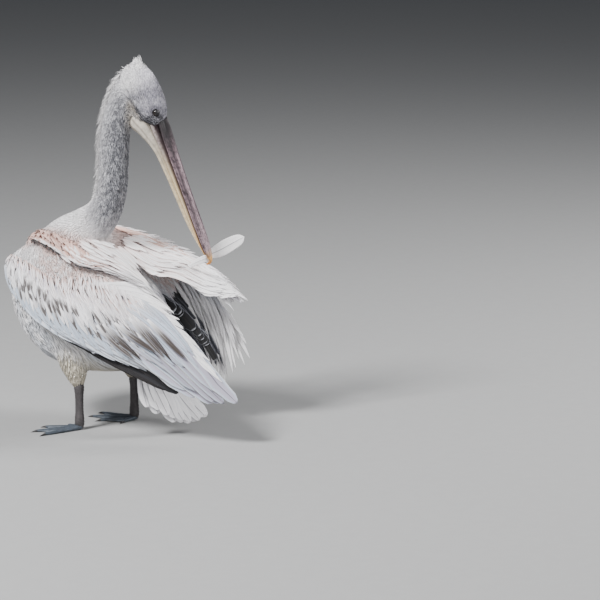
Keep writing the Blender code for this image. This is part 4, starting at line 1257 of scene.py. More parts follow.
# ---- the body's plumage
@dataclass
class BodyPlumage:
    """The small feathers of head, neck, trunk, thighs, mantle and wings."""

    plumage: Plumage
    face: Tuft = Tuft(8.0 * MM, 1.7 * MM, 1.38 * MM, 1.3 * MM, 0.8 * MM, 0.22 * MM, fade=0.16, mottle=0.13)
    bristle: Tuft = Tuft(11.5 * MM, 1.3 * MM, 1.6 * MM, 2.2 * MM, 0.5 * MM, 0.25 * MM, scatter_turn=0.20)
    crest: Tuft = Tuft(13.0 * MM, 2.0 * MM, 2.2 * MM, 2.8 * MM, scatter_turn=0.16, vary=0.25)
    neck: Tuft = Tuft(7.0 * MM, 2.1 * MM, 1.85 * MM, 1.8 * MM, thick=0.3 * MM, fade=0.12, mottle=0.12)
    hump: Tuft = Tuft(13.0 * MM, 3.4 * MM, 3.2 * MM, 1.5 * MM, fade=0.08, mottle=0.05)
    breast: Tuft = Tuft(34.0 * MM, 5.4 * MM, 4.7 * MM, 3.2 * MM, 2.0 * MM, 0.45 * MM, fade=0.10)
    thigh: Tuft = Tuft(20.0 * MM, 3.4 * MM, 3.0 * MM, 2.6 * MM, fade=0.10)
    mantle: Tuft = Tuft(19.0 * MM, 4.2 * MM, 3.6 * MM, 3.6 * MM, 1.6 * MM, 0.4 * MM, fade=0.16, mottle=0.10)
    wing: Tuft = Tuft(17.0 * MM, 2.5 * MM, 2.25 * MM, 2.3 * MM, fade=0.07, tip=Tip.HAIR, mottle=0.07)

    def build(self, finish: bpy.types.Material) -> None:
        """Grow every region, each as a piece of its own.

        Args:
            finish: The feathers' material.
        """
        skin, grow = self.plumage.skin, self.plumage.grow
        limb, points = skin.limb, skin.points
        height = STANCE.along_neck(points)[0]
        local = STANCE.from_head(points)
        forward, up, _ = STANCE.head_axes
        head = Coat("coat_head", "speckled")
        ahead = local[:, 0]
        grow(head, self.face, limb(Limb.HEAD) * self.off_bill(points), unwrap_head, 11,
             self.face_stand, self.speckle)
        collar = (limb(Limb.HEAD) > 0.4) * (ahead > -0.006) * (ahead < 0.004)
        grow(head, self.face, collar, unwrap_head, 19, comb=forward)
        off = along_streaks(local)[1]
        band = np.abs(off[:, None] - STREAKS).min(1) < STREAK_REACH
        lores = (ahead > -0.022) * (np.abs(local[:, 1] + 0.004) < 0.014)
        dark = (limb(Limb.HEAD) > 0.5) * (ahead > -0.070) * (ahead < -0.001)
        dark = dark * (np.abs(local[:, 2]) > 0.008) * (band | lores)
        grow(head, self.bristle, dark, unwrap_head, 20, dress=self.ink, comb=-forward - 0.35 * up)
        head.build(finish)
        crest = Coat("coat_crest", "white")
        grow(crest, self.crest, (ahead < -0.092) * (local[:, 1] > -0.075)
             * (limb(Limb.HEAD) + limb(Limb.NECK) > 0.5), unwrap_head, 17)
        self.peak(crest)
        crest.build(finish, "crest")
        for title, low, high, seed in (("coat_neck_low", 0.20, 0.56, 12), ("coat_neck_high", 0.56, 1.01, 22)):
            neck = Coat(title, "speckled")
            part = limb(Limb.NECK) * (height > low) * (height <= high)
            grow(neck, self.neck, part * (height > 0.27), unwrap_neck, seed, self.neck_stand, self.speckle)
            if low < 0.3:
                grow(neck, self.hump, part * (height < 0.34), unwrap_neck, seed + 1)
            neck.build(finish)
        trunk = Coat("coat_trunk", "down")
        lower = (limb(Limb.TRUNK) + limb(Limb.NECK) * (height < 0.22))
        grow(trunk, self.breast, lower * (points[:, 2] < 0.395), unwrap_body, 13)
        grow(trunk, self.hump, lower * (points[:, 2] > 0.350), unwrap_body, 23)
        trunk.build(finish)
        thighs = Coat("coat_thighs", "cream")
        grow(thighs, self.thigh, limb(Limb.THIGH), unwrap_body, 14)
        thighs.build(finish)
        mantle = Coat("coat_mantle", "rust")
        grow(mantle, self.mantle, (limb(Limb.MANTLE_LEFT) + limb(Limb.MANTLE_RIGHT)) * (points[:, 1] < 0.16),
             unwrap_body, 15, self.mantle_stand)
        mantle.build(finish)
        for title, side, seed in (("coat_wing_left", Limb.WING_LEFT, 16),
                                  ("coat_wing_right", Limb.WING_RIGHT, 26)):
            wings = Coat(title, "covert")
            grow(wings, self.wing, limb(side) * (points[:, 2] > 0.20), unwrap_body, seed)
            wings.build(finish)

    @staticmethod
    def speckle(spots: Array, colour: Array, draw: np.random.Generator) -> Array:
        """Turn single feathers of the neck and face dark, by chance.

        Args:
            spots: Places on the skin, one row each.
            colour: The feathers' colours.
            draw: The random source.

        Returns:
            The new colours.
        """
        height, _, throat = STANCE.along_neck(spots)
        head = STANCE.from_head(spots)
        on_head = ramp(-0.110, -0.090, head[:, 0]) * (head[:, 1] > -0.06) * (height > 0.93)
        # the dark feathers also thicken towards the throat and lower down, partly as painted shade
        density = np.where(on_head > 0, 0.70 * ramp(-0.098, -0.070, head[:, 0]), neck_density(height, throat))
        patch = ramp(0.40, 0.64, 0.65 * blotches(spots, 2.0 * MM, 1) + 0.35 * blotches(spots, 6.0 * MM, 4))
        chosen = draw.random(len(spots)) < 0.10 + 0.65 * patch
        dark = chosen * density * (0.50 + 0.50 * draw.random(len(spots)))
        return mix(colour, Tone.SPECKLE.rgb, np.tile(dark[:, None, None], (1,) + colour.shape[1:3]))

    @staticmethod
    def ink(spots: Array, colour: Array, draw: np.random.Generator) -> Array:
        """Make bristles nearly black."""
        shade = Tone.SPECKLE.rgb * (0.15 + 0.7 * draw.random(len(spots)))[:, None, None, None]
        return np.broadcast_to(shade, colour.shape)

    @staticmethod
    def mantle_stand(spots: Array) -> tuple[Array, Array]:
        """Press the mantle's feathers down where the long scapulars cover them."""
        covered = ramp(-0.02, 0.03, spots[:, 1])
        return 1.0 - 0.4 * covered, 1.0 - 0.85 * covered

    def peak(self, crest: Coat) -> None:
        """Stand the loose tuft up from the back of the crown, and the ragged edge below it.

        Args:
            crest: The piece to add them to.
        """
        skin = self.plumage.skin
        forward, up, left = STANCE.head_axes
        local = STANCE.from_head(skin.points)
        spots, held = skin.scatter(2.6 * MM, (local[:, 0] < -0.100) * (local[:, 1] > -0.070)
                                   * (skin.limb(Limb.HEAD) > 0.4), 18)
        draw, steps = np.random.default_rng(18), STATIONS[Section.TUFT]
        local, count = STANCE.from_head(spots), len(spots)
        near = ramp(-0.106, -0.126, local[:, 0])
        top = near * np.exp(-((local[:, 1] + 0.004) / 0.016) ** 2)
        length = (6.5 * MM + 17 * MM * top ** 2) * (0.65 + 0.6 * draw.random(count))
        out = unit(skin.blend(spots, held, skin.normals))
        gather_in = -up * (local[:, 1:2] + 0.004) * 14 - left * local[:, 2:3] * 14
        heading = unit(-forward + 0.10 * up + gather_in * top[:, None] + 0.28 * out * (1 - top[:, None])
                       + 0.10 * draw.normal(0, 1, (count, 3)))
        centre = (spots - out * 1.5 * MM)[:, None] + heading[:, None] * (length[:, None] * steps)[..., None]
        half = 1.05 * MM * Tip.LANCE.width(steps)[None] * (0.8 + 0.4 * draw.random(count))[:, None]
        face = np.repeat(flat_on(out, heading)[:, None], len(steps), axis=1)
        colour = np.tile(Tone.SNOW.rgb, (count, len(steps), 3, 1))
        # painted shade: the crest's tufts darken towards their roots
        colour = colour * (1 - 0.12 * (1 - steps))[None, :, None, None]
        crest.add(Section.TUFT, centre, face, half, np.full(count, 0.3 * MM), colour, unwrap_head(spots))

    @staticmethod
    def off_bill(points: Array) -> Array:
        """Keep feathers off the bill's root and the eyes.

        Args:
            points: Places, one row each.

        Returns:
            1 where feathers may grow and 0 elsewhere.
        """
        local = STANCE.from_head(points)
        eye = np.hypot(local[:, 0] - EYE[0], 1.5 * (local[:, 1] - EYE[1])) < 6.6 * MM
        eye &= np.abs(local[:, 2]) > 0.015
        return (local[:, 0] < np.where(local[:, 1] < -0.026, -0.0135, -0.001)) * ~eye

    @staticmethod
    def face_stand(spots: Array) -> tuple[Array, Array]:
        """Shorten the feathers round the bill and eye, and lengthen them on the nape.

        Args:
            spots: Places on the skin, one row each.

        Returns:
            Factors for length and for rise.
        """
        local = STANCE.from_head(spots)
        back = ramp(-0.04, -0.12, local[:, 0])
        chin = ramp(-0.030, -0.045, local[:, 1]) * ramp(-0.075, -0.050, local[:, 0])
        brow = np.exp(-((local[:, 0] - EYE[0]) ** 2 + (local[:, 1] - EYE[1]) ** 2) / (11 * MM) ** 2)
        return 0.85 + 0.75 * back + 0.5 * chin, 0.8 + 1.6 * back + 1.6 * chin + 1.1 * brow

    @staticmethod
    def neck_stand(spots: Array) -> tuple[Array, Array]:
        """Raise the ragged mane on the nape.

        Args:
            spots: Places on the skin, one row each.

        Returns:
            Factors for length and for rise.
        """
        height, _, throat = STANCE.along_neck(spots)
        mane = ramp(-0.70, -0.95, throat) * ramp(0.35, 0.5, height)
        ragged = 0.6 + 0.8 * blotches(spots, 6 * MM, 8)
        return 1.0 + 2.0 * mane * ragged + 0.5 * ramp(0.40, 0.27, height), 1.0 + 5.6 * mane * ragged


def skin_piece(skin: Skin, finish: bpy.types.Material) -> bpy.types.Object:
    """Make the skin's mesh and let it stand for every flesh node.

    Args:
        skin: The skin.
        finish: Its material.

    Returns:
        The piece.
    """
    mesh = bpy.data.meshes.new("skin")
    mesh.from_pydata(skin.points.tolist(), [], skin.faces.tolist())
    # painted shade: the skin takes the coat's colours a little darker, for the shade under the feathers
    made = dressed("skin", mesh, markings_and_painted_shade(skin.points, skin.weights) * 0.84, finish)
    return settle(made, "down", *(node for limb in LIMBS for node in limb.value))


# ---- long feathers
@dataclass(frozen=True)
class Quill:
    """A kind of long feather that lies on a plate."""

    width: float
    tip: Tip = Tip.POINT
    web: Tone = Tone.WHITE       # either side of the shaft
    rim: Tone = Tone.SNOW        # along the edges
    middle: Tone = Tone.WHITE    # next to the shaft
    shaft: Tone = Tone.MID_GREY
    # the base's colour, blended out by mid-length: partly the feather's own base tone, partly painted shade
    # where the feathers above cover it
    root: Tone = Tone.PALE_GREY
    end: Tone | None = None      # the last part of the vane
    fringe: Tone | None = None   # a pale hem round the tip
    mark: Tone | None = None     # a dark teardrop on the far half
    marked: float = 0.46         # the share of the feathers that carry it
    thick: float = 0.55 * MM
    tilt: float = 0.16           # how far the lower edge is lifted, in radians
    mottle: float = 0.05
    ragged: float = 0.05         # how uneven the vane's edges are

    def colours(self, count: int, draw: np.random.Generator) -> Array:
        """Paint a number of these feathers, by station and point of the section.

        Args:
            count: How many feathers.
            draw: The random source.

        Returns:
            Linear colours.
        """
        steps, shape = STATIONS[Section.QUILL], np.abs(np.array(Section.QUILL.value)[:, 0])
        colour = np.where((shape > 0.99)[:, None], self.rim.rgb, self.web.rgb)
        colour = np.where((shape < 0.55)[:, None], self.middle.rgb, colour)
        colour = np.where((shape < 0.01)[:, None], self.shaft.rgb, colour)
        colour = np.tile(colour, (count, len(steps), 1, 1))
        # the root colour at the base, partly painted shade under the overlapping feathers, fades out by 45% of
        # the length
        colour = mix(self.root.rgb, colour, ramp(0.0, 0.45, steps)[None, :, None])
        for tone, low, high in ((self.end, 0.62, 0.93), (self.fringe, 0.94, 0.98)):
            if tone is not None:
                colour = mix(colour, tone.rgb, ramp(low, high, steps)[None, :, None] * np.ones(shape.shape))
        if self.mark is not None:
            drop = ramp(0.38, 0.66, steps) * ramp(1.0, 0.95, steps)
            inside = np.where(shape < 0.55, 1.0, np.where(shape < 0.99, 0.75, 0.1))
            strength = np.where(draw.random(count) < self.marked, 0.92, 0.08)[:, None, None]
            colour = mix(colour, self.mark.rgb, strength * drop[None, :, None] * inside[None, None, :])
        return np.clip(colour * (1 + draw.normal(0, self.mottle, count))[:, None, None, None], 0, 1)


@dataclass(frozen=True)
class Row:
    """A row of feathers, spread evenly over a plate."""

    count: int
    roots: Sequence      # along and across of the first root, any between, and the last
    ends: Sequence       # the same for the tips
    rises: Sequence      # millimetres outside the plate: the first root and tip, then the last
    seed: int            # fixes the row's random draw
    stray: float = 0.008     # how far a tip strays
    gap: int = 10            # from that seed to the one of the feathers themselves


def lay(coat: Coat, plate: Plate, kind: Quill, row: Row) -> None:
    """Lay a row of long feathers on a plate.

    Args:
        coat: The piece to add them to.
        plate: The sheet that they lie on.
        kind: What they are like.
        row: Where they lie.
    """
    draw, count, steps = np.random.default_rng(row.seed), row.count, STATIONS[Section.QUILL]
    roots, ends = curve_through(row.roots, count), curve_through(row.ends, count)
    roots = roots + draw.normal(0, row.stray / 2, roots.shape)
    ends = ends + draw.normal(0, row.stray, ends.shape)
    rises = np.linspace(row.rises[:2], row.rises[2:], count) * MM
    draw = np.random.default_rng(row.seed + row.gap)
    along = roots[:, None, 0] + (ends - roots)[:, None, 0] * steps
    bow = draw.normal(0, 0.012, count)[:, None]
    across = roots[:, None, 1] + (ends - roots)[:, None, 1] * steps + bow * np.sin(np.pi * steps)
    rise = rises[:, None, 0] + (rises[:, 1] - rises[:, 0])[:, None] * steps
    centre, out = plate.at(along, across, rise)
    run = unit(np.gradient(centre, axis=1))
    out = flat_on(out, run)
    low = flat_on(plate.at(along, across - 0.05)[0] - plate.at(along, across)[0], run)
    out = unit(out - low * math.tan(kind.tilt))
    half = kind.width / 2 * kind.tip.width(steps)[None] * (0.78 + 0.44 * draw.random(count))[:, None]
    half *= 1 + kind.ragged * draw.normal(0, 1, half.shape)
    root = np.clip(roots[:, ::-1], 0, 1)
    coat.add(Section.QUILL, centre, out, half, np.full(count, kind.thick), kind.colours(count, draw), root)


@dataclass(frozen=True)
class Quills:
    """Every long feather: scapulars, coverts, secondaries, tertials, primaries and tail."""

    # colours in order: web, rim, middle, shaft, root
    broad: Quill = Quill(30 * MM, Tip.ROUND, Tone.BLUE_GREY, Tone.SNOW, Tone.LAVENDER, Tone.SPECKLE,
                         Tone.MID_GREY, tilt=0.42, ragged=0.08, mottle=0.14)
    secondary: Quill = Quill(21 * MM, Tip.POINT, Tone.BLUE_GREY, Tone.SNOW, Tone.PALE_GREY, root=Tone.MID_GREY)
    tertial: Quill = Quill(16 * MM, Tip.POINT, Tone.LAVENDER, Tone.WHITE, Tone.BLUE_GREY, Tone.SPECKLE,
                           tilt=0.3, ragged=0.10)
    wisp: Quill = Quill(10 * MM, Tip.LANCE, Tone.SNOW, Tone.SNOW, Tone.SNOW, Tone.PALE_GREY, Tone.WHITE,
                        tilt=0.1, ragged=0.10)
    primary: Quill = Quill(19 * MM, Tip.ROUND, Tone.BLACK, Tone.UMBER, Tone.BLACK, Tone.UMBER, Tone.BLACK,
                           end=Tone.BLACK)
    covert: Quill = Quill(15 * MM, Tip.LANCE, Tone.BLUE_GREY, Tone.WHITE, Tone.BLUE_GREY, tilt=0.2)
    streaked: Quill = Quill(9.5 * MM, Tip.POINT, shaft=Tone.PALE_GREY, root=Tone.LAVENDER, mark=Tone.UMBER,
                            marked=0.58, tilt=0.22, mottle=0.10)
    plain: Quill = Quill(3.6 * MM, Tip.LANCE, Tone.PINK, Tone.PINK, Tone.WHITE, Tone.PALE_GREY, Tone.ROSE,
                         tilt=0.12, mottle=0.10)
    old: Quill = Quill(12 * MM, Tip.POINT, Tone.MID_GREY, Tone.LAVENDER, Tone.BROWN, Tone.WHITE, Tone.WHITE,
                       mark=Tone.UMBER, marked=0.7, tilt=0.25, mottle=0.22)
    hanging: Quill = Quill(15 * MM, Tip.LANCE, Tone.SNOW, Tone.SNOW, Tone.SNOW, Tone.PALE_GREY, Tone.WHITE,
                           ragged=0.09)
    # painted shade: dark feathers that stand for the shadow in the far wing's hollow
    shaded: Quill = Quill(17 * MM, Tip.LANCE, Tone.UMBER, Tone.MID_GREY, Tone.SPECKLE, root=Tone.BLACK)
    loose: Quill = Quill(11 * MM, Tip.LANCE, shaft=Tone.PALE_GREY, tilt=0.3, ragged=0.10)
    barred: Quill = Quill(26 * MM, Tip.ROUND, Tone.BLACK, Tone.MID_GREY, Tone.BLACK, Tone.UMBER, Tone.BLACK,
                          fringe=Tone.PALE_GREY, tilt=0.1, mottle=0.2, ragged=0.08)
    short: Quill = Quill(6.5 * MM, Tip.LANCE, Tone.ROSE, Tone.PINK, Tone.ROSE, Tone.RUST, Tone.RUST,
                         tilt=0.25, ragged=0.10, mottle=0.10)
    # painted shade: dark feathers under the mantle's edge that stand for the shadow there
    under: Quill = Quill(7.5 * MM, Tip.LANCE, Tone.UMBER, Tone.LAVENDER, Tone.UMBER, Tone.BLACK, Tone.BLACK,
                         tilt=0.1, ragged=0.10, mottle=0.25)
    outline: Quill = Quill(7 * MM, Tip.LANCE, shaft=Tone.RUST, root=Tone.PINK, tilt=0.1, ragged=0.12,
                           mottle=0.10)
    streaming: Quill = Quill(17 * MM, Tip.LANCE, Tone.WHITE, Tone.SNOW, Tone.SNOW, Tone.PALE_GREY, Tone.WHITE,
                             tilt=0.15, ragged=0.10)
    drooping: Quill = Quill(13 * MM, Tip.LANCE, shaft=Tone.PALE_GREY, root=Tone.WHITE, ragged=0.10)
    rudder: Quill = Quill(31 * MM, Tip.ROUND, Tone.SNOW, Tone.PALE_GREY, Tone.WHITE, Tone.SPECKLE, Tone.WHITE,
                          tilt=0.10)

    def build(self, finish: bpy.types.Material) -> None:
        """Lay the feathers piece by piece.

        Args:
            finish: The feathers' material.
        """
        self.left_wing(finish)
        self.right_wing(finish)
        self.scapulars(finish)
        self.tail(finish)

    def left_wing(self, finish: bpy.types.Material) -> None:
        """Lay the near wing's flight feathers and the coverts over them.

        Args:
            finish: The feathers' material.
        """
        plate, flight = LEFT_WING, Coat("wing_left_flight", "blue_grey")
        for layer, sink in enumerate((-7, -1)):
            lay(flight, plate, self.broad, Row(
                7, [(0.48, 0.34), (0.60, 0.84)], [(0.91, 0.14), (1.02, 0.42), (1.025, 0.84)],
                (sink, sink, sink + 3, sink + 6), 21 + layer, 0.032))
            lay(flight, plate, self.secondary, Row(
                12, [(0.14, 0.20), (0.48, 0.40)], [(0.42, 0.04), (0.70, 0.06), (0.92, 0.20)],
                (sink,) * 4, 23 + layer))
        lay(flight, plate, self.tertial, Row(
            13, [(0.54, 0.34), (0.64, 0.90)], [(0.79, 0.16), (0.94, 0.90)], (3, 7, 5, 9), 28, 0.030))
        lay(flight, plate, self.wisp, Row(
            26, [(0.46, 0.84), (0.92, 0.84)], [(0.66, 1.05), (1.01, 1.02)], (3, 6, 4, 9), 29, 0.030))
        flight.build(finish, "wing_left_tertials", "wing_left_secondaries")
        dark = Coat("wing_left_long_primaries", "dark")
        lay(dark, LEFT_PRIMARIES, self.primary, Row(
            5, [(0.0, 0.3), (0.25, 0.9)], [(0.90, 0.3), (1.10, 0.6)], (0, 0, 3, 3), 25))
        dark.build(finish, "wing_left_primaries")
        self.long_coverts("wing_left_long_coverts", plate, 26, finish)

    def long_coverts(self, name: str, plate: Plate, seed: int, finish: bpy.types.Material) -> None:
        """Lay a wing's greater coverts, its rows of streaked coverts and its few old brown ones.

        Args:
            name: The name of the piece.
            plate: The wing's sheet.
            seed: Fixes the random draws.
            finish: The feathers' material.
        """
        coverts = Coat(name, "covert")
        lay(coverts, plate, self.covert, Row(
            24, [(0.00, 0.34), (0.58, 0.44)], [(0.10, 0.07), (0.40, 0.04), (0.72, 0.12)],
            (2, 3, 3, 5), seed, gap=0))
        for line, (high, low, count) in enumerate(((0.44, 0.15, 27), (0.53, 0.25, 29), (0.61, 0.35, 30))):
            lay(coverts, plate, self.streaked, Row(
                count, [(0.07, high), (0.62, high + 0.08)], [(0.10, low), (0.74, low + 0.06)],
                (3, 6, 3, 7), seed + 4 + line, 0.014, 6))
        rows = ((0.62, 0.44, 0.01, 0.64, 76), (0.70, 0.52, 0.01, 0.66, 76), (0.78, 0.60, 0.30, 0.70, 52),
                (0.86, 0.68, 0.34, 0.72, 50), (0.95, 0.78, 0.38, 0.74, 46))
        for line, (high, low, first, last, count) in enumerate(rows):
            lay(coverts, plate, self.plain, Row(
                count, [(first, high), (last, high + 0.05)], [(first + 0.03, low), (last + 0.10, low + 0.05)],
                (2, 5.5, 3, 6.5), seed + 30 + line, 0.010))
        for start, high in ((0.55, 0.34), (0.65, 0.60)):
            lay(coverts, plate, self.old, Row(
                4, [(start, high), (start + 0.05, high + 0.15)],
                [(start + 0.15, high - 0.20), (start + 0.21, high)], (6, 10, 8, 13), seed + 20, 0.040, 1))
        coverts.build(finish)

    def right_wing(self, finish: bpy.types.Material) -> None:
        """Lay the far wing's hanging feathers, its coverts and the barred stack of primaries.

        Args:
            finish: The feathers' material.
        """
        plate, flight = RIGHT_WING, Coat("wing_right_flight", "white")
        for layer, sink in enumerate((-6, 0)):
            lay(flight, plate, self.hanging, Row(
                11, [(0.52, 0.80), (0.86, 1.00)], [(0.90, 0.00), (1.08, 0.10), (1.10, 0.92)],
                (sink, sink, sink + 3, sink + 6), 61 + layer, 0.045))
            # painted shade: the dark shaded row stands for the shadow in the far wing's hollow
            lay(flight, plate, self.shaded, Row(
                15, [(0.24, 0.20), (0.52, 0.55)], [(0.58, -0.02), (0.82, -0.03), (0.96, 0.20)],
                (sink,) * 4, 63 + layer, 0.034))
        lay(flight, plate, self.loose, Row(
            14, [(0.60, 0.92), (0.88, 1.00)], [(0.84, 0.42), (1.04, 0.84)], (-12, -16, -8, -14), 66, 0.040))
        flight.build(finish, "wing_right_tertials", "wing_right_secondaries")
        stack = Coat("wing_right_long_primaries", "dark")
        lay(stack, RIGHT_PRIMARIES, self.barred, Row(
            15, [(-0.20, 0.50), (0.70, 0.50)], [(0.10, 0.50), (1.04, 0.50)], (5, 8, 0, 2), 65, 0.05))
        stack.build(finish, "wing_right_primaries")
        self.long_coverts("wing_right_long_coverts", plate, 126, finish)

    def scapulars(self, finish: bpy.types.Material) -> None:
        """Stream the scapulars from the mantle: short ragged ones over its edge, long ones down and back.

        Args:
            finish: The feathers' material.
        """
        for side, plate, count in (("left", LEFT_MANTLE, 9), ("right", RIGHT_MANTLE, 10)):
            coat = Coat("scapulars_" + side + "_long", "white")
            # painted shade: a dark row under the mantle's edge, for the shadow beneath it
            lay(coat, plate, self.under, Row(
                44, [(0.10, 0.10), (0.66, 0.10)], [(0.14, -0.09), (0.74, -0.13)], (-1, 1, -1, 0), 79, 0.012, 5))
            for line, high in enumerate((0.10, 0.20, 0.31)):
                on = 0.02 * line
                lay(coat, plate, self.short, Row(
                    27, [(0.05 + on, high), (0.52, high)], [(0.12 + on, high - 0.17), (0.64, high - 0.14)],
                    (1, 6, 1, 6), 80 + line, 0.020, 5))
            lay(coat, plate, self.outline, Row(
                34, [(0.12, 0.05), (0.88, 0.05)], [(0.24, -0.06), (1.00, -0.13)], (1, 7, 1, 11), 89, 0.030, 2))
            for line in range(8):
                start = 0.32 + 0.075 * line
                end = start + min(0.15 + 0.012 * line, 1.0 - start)
                kind = replace(self.streaming, web=Tone.PINK if line < 4 else Tone.WHITE,
                               root=Tone.PINK if line < 5 else Tone.WHITE)
                lay(coat, plate, kind, Row(
                    count, [(start, 0.04), (start, 0.96)], [(end, -0.05), (end, 1.03)],
                    (0.5, 5.5, 0.5, 6.5), 90 + line, 0.042))
            if side == "right":
                lay(coat, plate, self.drooping, Row(
                    10, [(0.76, 0.0), (0.86, 1.0)], [(0.96, 0.0), (1.03, 1.0)], (0, -16, 0, -24), 98, 0.030))
            coat.build(finish)

    def tail(self, finish: bpy.types.Material) -> None:
        """Fan the tail's broad white feathers.

        Args:
            finish: The feathers' material.
        """
        coat = Coat("tail_fan", "white")
        for layer, sink in enumerate((-5, 0)):
            lay(coat, TAIL, self.rudder, Row(
                8, [(-0.05, 0.95), (0.16, 0.42)], [(0.84, 0.92), (1.04, 0.60), (1.13, 0.34), (1.05, 0.02)],
                (sink, sink, sink - 2, sink - 2), 110 + layer, 0.02, 2))
        coat.build(finish, "tail")


# ---- smooth swept pieces
def swept(name: str, rings: Array, colours: Array, finish: bpy.types.Material,
          loop: bool = False) -> bpy.types.Object:
    """Extrude a ring from station to station into a closed piece.

    Args:
        name: The piece's name.
        rings: The ring's points at each station.
        colours: The linear colour of each of those points.
        finish: Its material.
        loop: Whether the last station meets the first, so that the piece has no ends.

    Returns:
        The piece, which rides on nothing yet.
    """
    stations, sides = rings.shape[:2]
    body = bmesh.new()
    order, level = body.verts.layers.int.new("order"), body.verts.layers.int.new("level")
    bmesh.ops.create_circle(body, segments=sides, radius=1.0, cap_ends=not loop)
    body.verts.ensure_lookup_table()
    for number, vert in enumerate(body.verts):
        vert[order], vert.co = number, rings[0, number]
    edges = list(body.edges)
    for station in range(1, stations):
        grown = bmesh.ops.extrude_edge_only(body, edges=edges)["geom"]
        edges = [part for part in grown if isinstance(part, bmesh.types.BMEdge)]
        for vert in (part for part in grown if isinstance(part, bmesh.types.BMVert)):
            vert[level], vert.co = station, rings[station, vert[order]]
    if loop:
        bmesh.ops.remove_doubles(body, verts=body.verts, dist=0.001 * MM)
    else:
        bmesh.ops.holes_fill(body, edges=edges, sides=0)
    bmesh.ops.recalc_face_normals(body, faces=body.faces)
    marks = np.array([(vert[level], vert[order]) for vert in body.verts])
    made = dressed(name, poured(name, body), np.clip(colours[marks[:, 0], marks[:, 1]], 0, 1), finish)
    made.data.set_sharp_from_angle(angle=math.radians(62))
    return made


